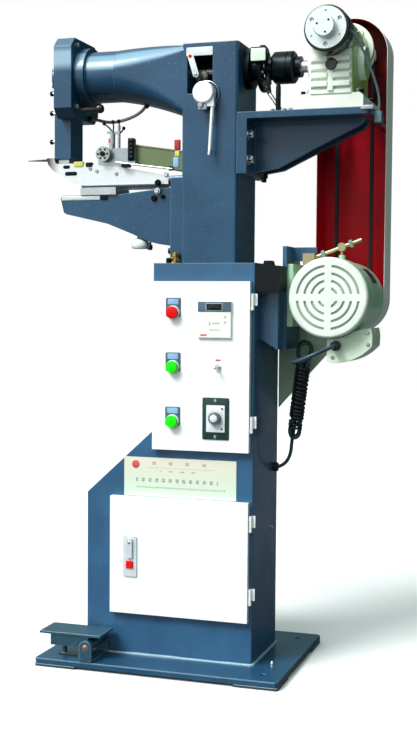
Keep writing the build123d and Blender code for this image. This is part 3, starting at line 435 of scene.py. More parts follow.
def hex_bolt(name, centre, axis, across_corners, material):
    """A washer and a hexagon head with a chamfered crown, standing on a face."""
    size = across_corners / 2
    turned(name + "_washer", [(size * 1.15, 0), (size * 1.15, size * 0.22), (size * 0.9, size * 0.26)],
           centre, axis, material, sides=28)
    turned(name, [(size, 0.0), (size, size * 0.72), (size * 0.86, size * 0.86)], centre, axis, material,
           sides=6)


side_x = cabinet_high[0]
for number, (y, z) in enumerate(((52, 290), (-3, 788), (0, 699), (-40, 744)), 1):
    hex_bolt(f"side_bolt_{number}", (side_x + (6 if z > 500 else 0), y, z), RIGHT, 9, zinc)


# ------------------------------------------------------------------ maker's plate
# A thin anodised plate, champagne at its top and greener below, silk-screened with rows of marks.
plate_low, plate_high = corners("nameplate")
plate_finish, tree, shader, place = start_finish("printed_anodised_plate", "aluminium_plate", 0.36, 0.1)
split = add(tree, "SeparateXYZ", {0: place})
fade = add(tree, "MapRange", {"Value": split.outputs[2], "From Min": plate_low[2] / 1000,
                              "From Max": plate_high[2] / 1000})
base = add(tree, "Mix", {0: fade.outputs[0], 6: linear("#d6ecd7"), 7: linear("#efe7d3")}, data_type="RGBA")
colour = base.outputs[2]
# Each printed row: height in mm, its own height, spacing of the marks, ink share, from x to x, ink.
rows = ((441, 7, 38, 0.22, -42, 98, "#c9867c"), (431, 1.2, 3, 0.7, -48, 104, "#b98e86"),
        (424, 3, 26, 0.35, -20, 70, "#a39a90"), (404, 8, 15.5, 0.45, -75, 112, "#7f8d84"),
        (388, 3.5, 5, 0.6, -76, 128, "#8b998f"))
speckle = add(tree, "TexNoise", {"Vector": place, "Scale": 1000 / 2.2, "Detail": 0.0})
strokes = add(tree, "Math", {0: speckle.outputs[0], 1: 0.5}, operation="GREATER_THAN")
rule = add(tree, "Math", {0: strokes.outputs[0], 1: 0.35}, operation="MAXIMUM")
for row_z, high, pitch, ink, left, far, tint in rows:
    near = add(tree, "Math", {0: split.outputs[2], 1: row_z / 1000, 2: high / 2000}, operation="COMPARE")
    middle = add(tree, "Math", {0: split.outputs[0], 1: (left + far) / 2000, 2: (far - left) / 2000},
                 operation="COMPARE")
    beat = add(tree, "Math", {0: split.outputs[0], 1: 1000 / pitch}, operation="MULTIPLY")
    part = add(tree, "Math", {0: beat.outputs[0]}, operation="FRACT")
    mark = add(tree, "Math", {0: part.outputs[0], 1: ink}, operation="LESS_THAN")
    both = add(tree, "Math", {0: near.outputs[0], 1: middle.outputs[0]}, operation="MULTIPLY")
    drawn = add(tree, "Math", {0: mark.outputs[0], 1: rule.outputs[0]}, operation="MULTIPLY")
    inked = add(tree, "Math", {0: both.outputs[0], 1: drawn.outputs[0]}, operation="MULTIPLY")
    colour = add(tree, "Mix", {0: inked.outputs[0], 6: colour, 7: linear(tint)}, data_type="RGBA").outputs[2]
tree.links.new(colour, shader.inputs["Base Color"])
brushed = add(tree, "Mapping", {"Vector": place, "Scale": (0.1, 1, 1)})
grain = add(tree, "TexNoise", {"Vector": brushed.outputs[0], "Scale": 1000 / 1.2})
skin = add(tree, "Bump", {"Height": grain.outputs[0], "Strength": 0.1, "Distance": 0.0002})
tree.links.new(skin.outputs[0], shader.inputs["Normal"])
dress(plate_finish, "nameplate")
emblem = moulded("faded_red_ink", "red_plastic", "#cf5552", grain_mm=2, bloom=0.3)
turned("plate_disc", [(9, 0), (9, 0.2), (8.6, 0.35), (0.5, 0.35)], (-76, plate_low[1], 437), FRONT, emblem,
       sides=48)


# ------------------------------------------------------------------ control door
# A folded sheet tray, powder coated white. Three 22 mm push buttons stand on the left, each with a
# legend plate, and the counter, the toggle switch and the speed dial on the right.
dress(white_powder, "control_door")
door_front = corners("control_door")[0][1]
stop_cap = moulded("red_button_cap", "red_plastic", "#ea0000", grain_mm=3, roughness=0.4, depth=0.04,
                   Specular_IOR_Level=0.25)
green_cap = moulded("green_button_cap", "green_plastic", "#19fa04", grain_mm=3, roughness=0.4, depth=0.04,
                    Specular_IOR_Level=0.25)
bezel_plastic = moulded("pale_bezel_plastic", "grey_plastic", "#dfe3e2", roughness=0.35)
legend_paint = moulded("slate_legend_plate", "grey_plastic", "#46606f", roughness=0.4)
label_film = moulded("pale_blue_label", "grey_plastic", "#8fb4dd", roughness=0.3)
block_plastic = moulded("black_contact_block", "black_plastic", "#17191a", roughness=0.5)
ring = [(11.75, 0.1), (11.75, 3.6), (12.1, 4.4), (13.3, 4.6), (14.4, 4.2), (14.8, 3.2), (14.8, 0.1)]
for label, node in (("stop", "stop_button"), ("start", "start_button"), ("jog", "jog_button")):
    low, high = corners(node)
    x, z = (low[0] + high[0]) / 2, (low[2] + high[2]) / 2
    bezel = turned(f"{label}_bezel", ring, (x, door_front, z), FRONT, bezel_plastic,
                   "control_door_body", sides=48, loop=True)
    slab(f"{label}_legend_plate", (x - 16.8, door_front - 1.6, z - 9), (x + 16.8, door_front, z + 31),
         legend_paint, "control_door_body", corner=2.5, edge=0.5)
    slab(f"{label}_label", (x - 12, door_front - 2.1, z + 17), (x + 12, door_front - 1.4, z + 28.5),
         label_film, "control_door_body", corner=1, edge=0.2)
    cap = turned(f"{label}_mushroom_cap", [(10.5, 0.3), (10.5, 8.4), (12.4, 8.6), (12.9, 9.4), (12.9, 12.6),
                                           (12.2, 13.9), (9, 14.6), (0.5, 14.9)], (x, door_front, z), FRONT,
                 stop_cap if label == "stop" else green_cap, node + "_body", sides=48)
    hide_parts(node)
    turned(f"{label}_barrel", [(11.8, 0), (13.9, 0), (13.9, 9), (15.4, 9), (15.4, 14), (13.9, 14),
                               (13.9, 27), (11.8, 27)], (x, door_front, z), (0, 1, 0), block_plastic,
           "control_door_body", loop=True)
    slab(f"{label}_contact_block", (x - 14, -85, z - 20), (x + 14, -77, z + 20), block_plastic,
         "control_door_body", corner=2, edge=1)
    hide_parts("panel_bezels")


# ------------------------------------------------------------------ counter
# A panel counter in a cream ABS case: slate header with a smoked window, two keys and faint print.
cream_abs = moulded("cream_abs_case", "grey_plastic", "#f4f6ea", roughness=0.4, bloom=0.04)
smoked = moulded("smoked_window", "black_plastic", "#07090a", grain_mm=6, roughness=0.08, depth=0.02)
header_print = moulded("slate_header_film", "grey_plastic", "#4f6577", roughness=0.35)
dress(cream_abs, "counter_display")
low, high = corners("counter_display")
face = low[1]
slab("counter_header", (low[0], face - 0.8, high[2] - 22), (high[0], face + 0.4, high[2] - 0.5), header_print,
     "control_door_body", corner=1.5)
slab("counter_window_rim", (low[0] + 17, face - 1.3, high[2] - 20), (low[0] + 55, face - 0.6, high[2] - 3.5),
     moulded("grey_window_rim", "grey_plastic", "#93a5ad"), "control_door_body", corner=1.5)
slab("counter_window", (low[0] + 19, face - 1.7, high[2] - 18.5), (low[0] + 53, face - 1.0, high[2] - 5),
     smoked, "control_door_body", corner=1)
red_print = moulded("red_screen_print", "red_plastic", "#c8524c", roughness=0.5)
grey_print = moulded("grey_screen_print", "grey_plastic", "#b9b9ae", roughness=0.5)
for number, (x, z, wide, high_mm, ink) in enumerate((
        (13, 6, 14, 3, red_print), (28, 17, 3, 2.5, grey_print), (38, 17, 22, 1.6, grey_print),
        (26, 30, 4, 7, grey_print), (40, 31, 16, 3, grey_print), (60, 44, 5, 4, grey_print),
        (60, 33, 5, 4, grey_print)), 1):
    slab(f"counter_mark_{number}", (low[0] + x - wide / 2, face - 0.5, low[2] + z - high_mm / 2),
         (low[0] + x + wide / 2, face + 0.2, low[2] + z + high_mm / 2), ink, "control_door_body",
         corner=0.5, edge=0.1)


# ------------------------------------------------------------------ toggle switch and speed dial
# The toggle stands in a chromed hexagon nut. The dial plate is black-green with a white face, a ring
# of graduations, two fixing screws and two small lamps, and the knob is fluted round its rim.
chrome = metal("bright_chrome", "chrome_plate", "#f3f6f7", 0.2, stain=0.06)
dress(chrome, "toggle_lever")
nut_low, nut_high = corners("toggle_lever")
toggle = ((nut_low[0] + nut_high[0]) / 2, door_front, (nut_low[2] + nut_high[2]) / 2)
turned("toggle_nut", [(3.6, 0), (8, 0), (8, 2.2), (7.2, 3)], toggle, FRONT, chrome, "control_door_body",
       sides=6)
turned("toggle_bush", [(3.7, 0), (5.4, 0), (5.4, 5.5), (4.9, 6), (3.7, 6)], toggle, FRONT, chrome,
       "control_door_body", loop=True)
slab("toggle_mark", (toggle[0] - 5, door_front - 0.4, toggle[2] + 13),
     (toggle[0] + 6, door_front + 0.1, toggle[2] + 17), red_print, "control_door_body", corner=0.8, edge=0.1)
low, high = corners("speed_knob")
dial = ((low[0] + high[0]) / 2, (low[2] + high[2]) / 2)
dial_green = moulded("black_green_dial_plate", "black_plastic", "#173833", roughness=0.35)
face_film, tree, shader, place = start_finish("graduated_dial_face", "grey_plastic", 0.4)
centred = add(tree, "VectorMath", {0: place, 1: (dial[0] / 1000, 0, dial[1] / 1000)}, operation="SUBTRACT")
parts = add(tree, "SeparateXYZ", {0: centred.outputs[0]})
wide = add(tree, "Math", {0: parts.outputs[0], 1: 2.0}, operation="POWER")
tall = add(tree, "Math", {0: parts.outputs[2], 1: 2.0}, operation="POWER")
squared = add(tree, "Math", {0: wide.outputs[0], 1: tall.outputs[0]}, operation="ADD")
distance = add(tree, "Math", {0: squared.outputs[0]}, operation="SQRT")
band = add(tree, "Math", {0: distance.outputs[0], 1: 0.0158, 2: 0.0016}, operation="COMPARE")
angle = add(tree, "Math", {0: parts.outputs[2], 1: parts.outputs[0]}, operation="ARCTAN2")
counted = add(tree, "Math", {0: angle.outputs[0], 1: 20 / (2 * math.pi)}, operation="MULTIPLY")
beat = add(tree, "Math", {0: counted.outputs[0]}, operation="FRACT")
tick = add(tree, "Math", {0: beat.outputs[0], 1: 0.22}, operation="LESS_THAN")
ink = add(tree, "Math", {0: band.outputs[0], 1: tick.outputs[0]}, operation="MULTIPLY")
tone = add(tree, "Mix", {0: ink.outputs[0], 6: linear("#e6e9ee"), 7: linear("#59636e")}, data_type="RGBA")
tree.links.new(tone.outputs[2], shader.inputs["Base Color"])
slab("dial_plate", (dial[0] - 29, door_front - 2, dial[1] - 46), (dial[0] + 30, door_front, dial[1] + 43),
     dial_green, "control_door_body", corner=3, edge=0.6)
slab("dial_face", (dial[0] - 20, door_front - 2.5, dial[1] - 30),
     (dial[0] + 21, door_front - 1.8, dial[1] + 27), face_film, "control_door_body", corner=1.5, edge=0.2)
for label, z in (("upper", 36), ("lower", -40)):
    turned(f"dial_screw_{label}", [(3.4, 0), (3.4, 0.8), (2.4, 1.8), (0.5, 2.1)],
           (dial[0], door_front - 2, dial[1] + z), FRONT, zinc, "control_door_body", sides=24)
dark_red = moulded("dark_red_lamp", "red_plastic", "#5c0d1a", roughness=0.25)
for label, z in (("upper", 20), ("lower", -23)):
    turned(f"dial_lamp_{label}", [(2.2, 0), (2.2, 0.8), (1.2, 1.6), (0.2, 1.8)],
           (dial[0] + 15, door_front - 2.4, dial[1] + z), FRONT, dark_red, "control_door_body", sides=20)
knob_grey = moulded("grey_knob_plastic", "grey_plastic", "#5d646a", roughness=0.4)
turn, rise = np.meshgrid(np.linspace(0, 2 * np.pi, 144, endpoint=False), [0, 8.5, 10.5, 11.6, 12, 12])
grip = np.array([12.6, 12.5, 12.2, 11.4, 9.6, 7.2])[:, None] + 0.55 * np.cos(18 * turn) * (rise < 11.9)
knob = paint_grid("fluted_knob", np.stack([dial[0] + grip * np.cos(turn), door_front - 2.6 - rise,
                                           dial[1] + grip * np.sin(turn)], -1), wrap=True)
fit(knob, knob_grey, "speed_knob_body")
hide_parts("speed_knob")
turned("knob_cap", [(8, 0), (8, 0.9), (6.8, 1.6), (0.6, 1.9)], (dial[0], door_front - 14.5, dial[1]),
       FRONT, bezel_plastic, "speed_knob_body")
slab("knob_pointer", (dial[0] - 0.6, door_front - 15.1, dial[1] + 7.6),
     (dial[0] + 0.6, door_front - 14.3, dial[1] + 11.4), bezel_plastic, "speed_knob_body", corner=0.3,
     edge=0.1)


# ------------------------------------------------------------------ lower door and its latch
# A second white tray. The flush latch is zinc die cast, its handle lies in the plate and springs out
# when the red button is pushed.
dress(white_powder, "lower_door")
die_cast = moulded("silver_lacquered_latch", "zinc_steel", "#dde5ea", grain_mm=2.0, roughness=0.35,
                   bloom=0.05, Metallic=0.25)
dress(die_cast, "latch_body", "latch_handle")
dress(stop_cap, "latch_button")
low = corners("latch_handle")[0]
turned("latch_pivot_screw", [(3.2, 0), (3.2, 0.6), (2.2, 1.2), (0.4, 1.4)], (-83.5, low[1], 268), FRONT,
       zinc, "latch_handle_body", sides=24)


# ------------------------------------------------------------------ pedal
# Welded plate, sprayed blue, turning on a bare pin whose end has rusted.
pedal_enamel = enamel("dark_pedal_enamel", "blue_enamel", "#22495c", "#8fb4c2", wear=0.9)
dress(pedal_enamel, "pedal", "pedal_bracket")
rusty = metal("rusted_pin_end", "zinc_steel", "#c98a72", 0.5, line_mm=2.5)
turned("pedal_pin_end", [(5.8, -0.5), (5.8, 0.8), (4.6, 1.6), (0.5, 1.8)], (-153, -196, 50), FRONT, rusty,
       "pedal_body", sides=28)
turned("pedal_stop_pad", [(5.4, 0), (5.4, 2.4), (4.2, 3.2), (0.6, 3.4)], (-222, -147, 39.5), UP,
       pad_rubber)


# ------------------------------------------------------------------ column, lever and window
# One hollow iron casting carries the tapered arm. A window in its front shows the regulator, under a
# white scale strip; the hand lever has a chromed hub with two short arms and a return spring behind.
dress(casting_enamel, "column_casting", "lower_arm", "shelf_bracket")
black_oxide = metal("blackened_steel", "black_oxide", "#23292c", 0.36, stain=0.3)
ground = metal("ground_steel", "ground_steel", "#cfd3d4", 0.27, along=(0.15, 1, 1))
dress(black_oxide, "bearing_flange", "coupling")
dress(chrome, "needle_bar", "needle")
lever_chrome = metal("polished_lever_chrome", "chrome_plate", "#ffffff", 0.32, stain=0.02)
lever_chrome.node_tree.nodes["Principled BSDF"].inputs["Metallic"].default_value = 0.6
dress(lever_chrome, "lift_lever")
dress(ground, "main_shaft", "worm_shaft")
front = -72.5
slab("window_scale_strip", (25, front - 1.2, 1311), (84, front, 1329), bezel_plastic, corner=1.5)
satin = metal("satin_nickel", "chrome_plate", "#b9bec2", 0.3)
pivot = (72, 1229)


def strap(name, start, end, y, width, material, body):
    """A flat bar with round ends between two (x, z) points, between two y limits."""
    start, end = np.array(start, float), np.array(end, float)
    along = (end - start) / np.linalg.norm(end - start)
    turn = np.linspace(-np.pi / 2, np.pi / 2, 9)
    aside = np.array([-along[1], along[0]])
    tip = width / 2 * (np.cos(turn)[:, None] * along + np.sin(turn)[:, None] * aside)
    flat = np.vstack([end + tip, start - tip])
    middle = flat.mean(0)
    rings = [middle + (flat - middle) * (1 - inset / np.linalg.norm(flat - middle, axis=1))[:, None]
             for inset in (0.4, 0, 0, 0.4)]
    depth = (y[0], y[0] + 0.4, y[1] - 0.4, y[1])
    grid = np.stack([np.stack([ring[:, 0], np.full(len(ring), d), ring[:, 1]], -1)
                     for ring, d in zip(rings, depth)])
    return fit(paint_grid(name, grid, wrap=True, crease=50), material, body)


strap("lever_short_arm", pivot, (49, 1272), (-81.8, -79.2), 11, black_oxide, "lever_body")
strap("lever_link", (50, 1270), (38, 1308), (-84, -81.9), 13, bezel_plastic, "lever_body")
for label, x, z, cap in (("joint", 50, 1270, satin), ("tip", 37, 1309, stop_cap)):
    turned(f"lever_{label}_rivet", [(3.6, 0), (3.6, 1.2), (2.4, 2.2), (0.4, 2.5)], (x, -84, z), FRONT, cap,
           "lever_body", sides=24)
turned("regulator_knob", [(9, 0), (10.5, 1.5), (10.5, 9), (8.5, 11), (4, 11.5)], (62, -57, 1270), FRONT,
       metal("dull_bronze_knob", "brass", "#6f786b", 0.4, stain=0.5))
turns = np.linspace(0, 2 * np.pi * 2.6, 160)
coil = np.stack([pivot[0] + 27 * np.cos(turns), -78.2 + turns * 0.24, pivot[1] + 27 * np.sin(turns)], -1)
carried("lever_spring", coil, 1.1, satin, sides=8)
turned("lever_clamp_nut", [(6.5, 0), (6.5, 5), (5.4, 6)], (66, -97, 1203), FRONT, satin, "lever_body",
       sides=6)
slab("lever_clamp_block", (60, -97, 1193), (79, -85, 1208), satin, "lever_body", corner=3, edge=1)
turned("lever_tip", [(0.5, 0), (4.4, 0.8), (4.7, 4), (4.5, 12), (4.2, 13)], (84, -90, 1098), (0.06, 0, 1),
       chrome, "lever_body", sides=28)


# ------------------------------------------------------------------ needle head
# The head block and its needle-bar box are blue castings. The box front is held by black cap screws
# down its outer side, and the round crank housing behind it is closed by a screwed cover.
head_enamel = enamel("blue_head_enamel", "blue_enamel", "#0b4263", "#5f8599", peel_mm=8.0)
# A painted highlight lightens the upper part of the block's front, in two bands between its bevels.
tree = head_enamel.node_tree
level_at = add(tree, "SeparateXYZ", {0: add(tree, "TexCoord").outputs["Object"]}).outputs[2]
highlight_bands = add(tree, "ValToRGB", {0: add(tree, "MapRange", {"Value": level_at, "From Min": 1.27,
                                                         "From Max": 1.37}).outputs[0]})
ramp = highlight_bands.color_ramp
ramp.interpolation = "EASE"
for spot, white in ((0.22, 0.0), (0.46, 1.0), (0.64, 1.0), (0.76, 0.35), (0.84, 0.8)):
    ramp.elements.new(spot).color = (white, white, white, 1)
ramp.elements[0].color = (0, 0, 0, 1)
ramp.elements[-1].color = (0.8, 0.8, 0.8, 1)
in_front = facing(head_enamel, (-0.2, -0.98, 0), 0.6, 0.95, 0.9)
share = add(tree, "Math", {0: in_front, 1: highlight_bands.outputs[0]}, operation="MULTIPLY")
tinted(head_enamel, share.outputs[0], "#9dbdd2")
# Painted shade darkens the downward-facing undersides of the head.
tinted(head_enamel, facing(head_enamel, (0, 0.05, -1), 0.2, 0.9, 0.65), "#06141a")
dress(head_enamel, "head_housing", "head_cover")
for number, z in enumerate((1257, 1213, 1149), 1):
    turned(f"box_screw_{number}", [(3.4, 0), (3.4, 12)], (-303, -16, z), LEFT, chrome, sides=24)
    turned(f"box_screw_head_{number}", [(5.2, 0), (5.6, 1), (5.6, 5), (4.6, 6.4), (0.4, 6.8)], (-313, -16, z),
           LEFT, black_oxide, sides=28)
for number in range(4):
    turn = math.radians(45 + 90 * number)
    turned(f"cover_screw_{number + 1}", [(4, 0), (4, 2.4), (3.2, 3.2), (0.4, 3.4)],
           (-311, 24 * math.cos(turn), 1290 + 24 * math.sin(turn)), LEFT, black_oxide, sides=24)
for number, (y, z) in enumerate(((-42, 1356), (-44, 1222)), 1):
    turned(f"head_rear_screw_{number}", [(5, 0), (5, 3), (4, 4.2), (0.4, 4.6)], (-242, y, z), RIGHT,
           chrome, sides=24)
knob_black = moulded("black_phenolic_knob", "black_plastic", "#101113", roughness=0.3, Coat_Weight=0.3)
turned("head_knob", [(7, -30), (7, 4), (8, 6), (9.5, 11), (10, 17), (7.5, 22), (0.5, 24)], (-203, -40, 1214),
       (1, 0, 0.04), knob_black, sides=32)
dress(ground, "presser_foot")


# ------------------------------------------------------------------ work arm, rail and feed horn
# The lower arm has a machined strip along its top edge. A ground slide rail sits on it under a strip of
# painted shade, and carries the milled aluminium feed horn, its two slots filled with painted shade, and its
# fixing screws.
arm_top = metal("milled_iron_strip", "ground_steel", "#dfe4e8", 0.32, along=(0.2, 1, 1), stain=0.08)
milled = metal("milled_aluminium", "ground_steel", "#e9ebec", 0.38, line_mm=1.6, along=(0.2, 1, 1),
               stain=0.05)
# The hooked end is darkened to brown-black, fading into the bright metal over 20 mm.
tree = milled.node_tree
reach_x = add(tree, "SeparateXYZ", {0: add(tree, "TexCoord").outputs["Object"]})
darkened_end = add(tree, "MapRange", {"Value": reach_x.outputs[0], "From Min": -0.318, "From Max": -0.292,
                               "To Min": 1.0, "To Max": 0.0})
tinted(milled, darkened_end.outputs[0], "#3b302b")
tree.nodes["Principled BSDF"].inputs["Metallic"].default_value = 0.45
dress(ground, "slide_rail")
dress(milled, "feed_horn")
slab("arm_top_strip", (-283, -35.2, 1015), (-190, -33.6, 1024.5), arm_top, corner=1.5)
slab("arm_index_block", (-188, -37, 1015), (-172, -33.6, 1024), black_oxide, corner=2)
# A dark strip of painted shade stands in the gap between the rail and the horn.
shade_strip_paint = enamel("painted_shade_strip", "blue_enamel", "#1f2b45", "#50607a")
slab("rail_shade_strip", (-234, -36, 1042), (-46, -34, 1047.4), shade_strip_paint, corner=1)
for number, (x, z, size) in enumerate(((-61, 1016, 6), (-52, 1031, 5.5), (-50, 1049, 6), (-30, 1066, 5),
                                       (-40, 1019, 4))):
    at = -34 if z < 1030 else -40
    turned(f"arm_bolt_{number + 1}", [(size + 1.2, 0), (size + 1.2, 1.6), (size, 1.8), (size, 6),
                                      (size - 1.2, 7.4), (2.4, 7.4), (2.2, 4.6), (0.3, 4.4)], (x, at, z),
           FRONT, chrome if number % 2 else black_oxide, sides=28)
yellow = moulded("yellow_guide_pad", "brass", "#d8cf63", grain_mm=2.2, roughness=0.45)
slab("horn_guide_pad", (-255, -33, 1090), (-232, -24, 1101), yellow, corner=2, edge=1)
slab("horn_guide_boss", (-226, -33, 1089), (-210, -24, 1099), black_oxide, corner=3, edge=1)
# Dark plates of painted shade fill the horn's two slots.
for label, x, z, wide, tall in (("upper", -273, 1090, 16.4, 7.4), ("lower", -262, 1075, 29.4, 8.4)):
    slab(f"horn_slot_shade_{label}", (x - wide / 2, -31.6, z - tall / 2), (x + wide / 2, -25, z + tall / 2),
         black_oxide, corner=tall / 2 - 0.1, edge=0.4)
for number, (x, z) in enumerate(((-199, 1079), (-152, 1072), (-215, 1085)), 1):
    turned(f"horn_screw_{number}", [(4.2, 0), (4.2, 1.0), (3.4, 1.8), (1.6, 1.9), (1.4, 0.8), (0.3, 0.8)],
           (x, -31, z), FRONT, satin, sides=24)
oil_pot = moulded("pale_oil_cup", "grey_plastic", "#dfe5e4", roughness=0.22, Coat_Weight=0.5)
turned("oil_cup", [(3, 30), (3.4, 16), (8, 14), (17, 8), (20, 2), (20, -6), (18, -9), (0.5, -9.5)],
       (-100, -16, 916), UP, oil_pot, sides=44)
carried("oil_cup_pipe", [(-108, -18, 920), (-106, -18, 928), (-104, -18, 940)], 2.6, satin)
turned("oil_cup_knob", [(2.5, 16), (2.5, 8), (5.5, 7), (6.5, 1), (5.5, -4), (0.5, -5)], (-74, -26, 908),
       (0.1, 0, 1), knob_black, sides=28)


# ------------------------------------------------------------------ thread guard and tension stand
# A bent olive-green sheet lies over the horn's rear half. In front of it stand the thread posts with
# their small knobs, the spring housing, the knurled tension wheel and the bright feed rod.
olive = enamel("olive_guard_paint", "green_paint", "#66784a", "#9d9a7d", roughness=0.5)
dress(olive, "thread_guard")
tan = enamel("tan_edge_paint", "cream_paint", "#9d8a72", "#c6bba6", roughness=0.5)
carried("guard_top_edge", [(-121, -20.5, 1136.5), (-60, -20.5, 1127.2), (14, -20.5, 1115.8)], 1.7, tan)
dress(satin, "tension_bracket")
dress(metal("knurled_steel_wheel", "ground_steel", "#b7bbb8", 0.36, line_mm=1.5, stain=0.4), "tension_wheel")
slab("spring_housing", (-124, -34.5, 1099), (-109, -32.5, 1149), black_oxide, corner=2, edge=0.6)
for number in range(5):
    turned(f"spring_housing_rib_{number + 1}", [(6, 0), (6, 1.2), (4.6, 2.2), (0.4, 2.4)],
           (-116.5, -34, 1106 + 9 * number), FRONT, black_oxide, sides=24)
for number, (x, z, lean) in enumerate(((-184, 1184, -14), (-163, 1187, 4), (-149, 1188, 8),
                                       (-137, 1172, 10))):
    foot = (-163 if number < 2 else -148, -26, 1164 if number < 2 else 1160)
    carried(f"thread_post_{number + 1}", [foot, ((x + foot[0]) / 2 + 2, -26, (z + foot[2]) / 2), (x, -26, z)],
            1.7, black_oxide, sides=8)
    turned(f"thread_knob_{number + 1}", [(1.5, -4), (3.4, -2.6), (4, 0), (3.4, 2.6), (1.5, 4)], (x, -26, z),
           (lean, 0, 60), black_oxide, sides=20)
slab("tension_scale", (-176, -31.6, 1136), (-160, -29.4, 1160), bezel_plastic, corner=1.5)
slab("tension_scale_mark", (-171, -32.2, 1140), (-166, -31.4, 1150), red_print, corner=0.8, edge=0.1)
turned("wheel_hub_nut", [(6, 0), (6, 4), (5, 5)], (-179, -46, 1115), FRONT, black_oxide, "tension_body",
       sides=6)
for number in range(6):
    turn = math.radians(60 * number)
    turned(f"wheel_dimple_{number + 1}", [(2.4, 0), (2.4, 0.7), (1.2, 1.2), (0.2, 1.2)],
           (-179 + 11 * math.cos(turn), -46, 1115 + 11 * math.sin(turn)), FRONT, black_oxide, "tension_body",
           sides=16)
turned("feed_rod", [(2.3, 0), (2.3, 134)], (-150, -40, 1096), (132, 0, -18), ground, sides=24)
slab("feed_rod_clamp", (-136, -44, 1084), (-116, -32, 1092), black_oxide, corner=3, edge=1)
turned("feed_rod_seat", [(5, 0), (5, 9), (3.8, 10)], (-22, -40, 1079), (0, 0.9, 0.1), black_oxide)
guard_red = enamel("scarlet_signal_paint", "guard_red", "#b00d12", "#d2665c", roughness=0.4)
slab("guide_block", (-3, -68, 1115), (9, -60.5, 1137), guard_red, corner=1.5)
slab("guide_block_pad", (-2, -67, 1102), (8, -60.5, 1113), yellow, corner=1.5)
slab("guide_block_foot", (-6, -66, 1079), (6, -60.5, 1100), label_film, corner=2)


# ------------------------------------------------------------------ column foot, flange and light box
# Socket screws and brass oil unions gather at the column's foot and round the main bearing, with a
# black strap and a drain rod hanging beside the coupling.
brass = metal("turned_brass", "brass", "#b99a4e", 0.3, line_mm=1.4)
turned("foot_union", [(9, 0), (9, 5), (6.5, 6), (6.5, 14), (8.5, 15), (8.5, 21), (5, 24), (0.5, 25)],
       (2, -66, 872), UP, brass, sides=6)
turned("foot_elbow", [(6, 0), (6, 10), (4, 12), (0.5, 12.5)], (-14, -68, 872), UP, black_oxide, sides=24)
carried("foot_oil_pipe", [(-14, -68, 878), (-8, -70, 884), (2, -70, 884), (8, -68, 880), (12, -62, 874)], 2.4,
        brass)
dress(black_oxide, "casting_bolts")
for number, (y, z) in enumerate(((-64, 1090), (-64, 1142), (64, 1090), (64, 1142)), 1):
    turned(f"flange_washer_{number}", [(11, 0), (11, 1.8), (10, 2.4), (7.6, 2.4)], (162, y, z), RIGHT, chrome,
           sides=32)
    turned(f"flange_nut_{number}", [(8.4, 0), (8.4, 6), (7.2, 7.4)], (166, y, z), RIGHT, chrome, sides=6)
lamp_lens = moulded("pale_green_lamp_lens", "white_powder", "#dff3d6", grain_mm=3, roughness=0.3,
                    Coat_Weight=0.4)
slab("light_box", (162, -60, 1293), (198, -44, 1325), black_oxide, corner=3, edge=1)
slab("light_box_lens", (164, -61.4, 1296), (196, -59.6, 1322), lamp_lens, corner=2.5, edge=0.6)
turned("bearing_cap", [(28, 0), (47, 0), (50, 2), (50, 8), (47, 11), (28, 12)], (170.5, 0, 1290), RIGHT,
       black_oxide, sides=64, loop=True)
for number in range(6):
    turn = math.radians(60 * number + 20)
    turned(f"bearing_cap_screw_{number + 1}", [(3.6, 0), (3.6, 2.4), (2.8, 3.2), (0.4, 3.3)],
           (182, 39 * math.cos(turn), 1290 + 39 * math.sin(turn)), RIGHT, satin, sides=20)
strap("strap_upper", (193, 1271), (198, 1231), (-33, -30), 8, black_oxide, "frame")
strap("strap_lower", (197, 1233), (221, 1199), (-36.5, -33.2), 8, black_oxide, "frame")
strap("strap_face", (200, 1229), (214, 1209), (-37.5, -36.4), 4, bezel_plastic, "frame")
turned("shelf_stud", [(5.4, 0), (5.4, 52), (4.4, 56), (4, 62)], (222, -50, 1188), UP, black_oxide, sides=24)
for number, x in enumerate((214, 240, 253), 1):
    turned(f"shelf_screw_{number}", [(5.5, 0), (5.5, 4), (4.4, 5.2), (0.5, 5.4)], (x, -66, 1188), UP,
           satin, sides=6)
turned("shelf_drain", [(5, -2), (9, 0), (9, 9), (6, 11), (6, 18), (0.5, 19)], (196, -62, 1060), (0, 0, -1),
       black_oxide, sides=6)
slab("shelf_clip", (404, -84, 1182), (430, -80.4, 1190), satin, corner=2)


# ------------------------------------------------------------------ gearbox and brake
# The worm gearbox is aluminium painted cream, with a filler plug, a level plug and lifting screws.
# The electromagnetic brake in front is a black coil behind a bright disc with three cap screws.
cream = enamel("cream_gearbox_paint", "cream_paint", "#f0f9ea", "#fafbf5", peel_mm=6, roughness=0.34)
# The belt-side flank carries painted shade in olive: it follows how far the surface faces right.
tree = cream.node_tree
across_it = add(tree, "SeparateXYZ", {0: add(tree, "NewGeometry").outputs["True Normal"]})
height = add(tree, "SeparateXYZ", {0: add(tree, "TexCoord").outputs["Object"]})
above_foot = add(tree, "MapRange", {"Value": height.outputs[2], "From Min": 1.214, "From Max": 1.222})
on_right = add(tree, "MapRange", {"Value": across_it.outputs[0], "From Min": 0.2, "From Max": 0.8,
                                  "To Max": 0.9})
share = add(tree, "Math", {0: on_right.outputs[0], 1: above_foot.outputs[0]}, operation="MULTIPLY")
tinted(cream, share.outputs[0], "#84b03c")
dress(cream, "gearbox_housing")
for row in range(4):
    for side_name, x_from, x_to in (("left", 299, 334), ("right", 346, 381)):
        slab(f"gearbox_rib_{side_name}_{row + 1}", (x_from, -85, 1231 + 17 * row),
             (x_to, -79.6, 1242 + 17 * row), cream, corner=1.5, edge=1)
slab("gearbox_spine", (334, -83.5, 1222), (346, -79.6, 1266), cream, corner=1.5, edge=1)
dress(ground, "worm_wheel")
coil_lacquer = moulded("black_coil_lacquer", "black_plastic", "#0c0d0f", grain_mm=2.4, roughness=0.3,
                       Coat_Weight=0.4)
dress(coil_lacquer, "brake_coil")
disc_steel = metal("bright_brake_disc", "ground_steel", "#e6eceb", 0.33, stain=0.08)
dress(disc_steel, "brake_disc")
low, high = corners("brake_disc")
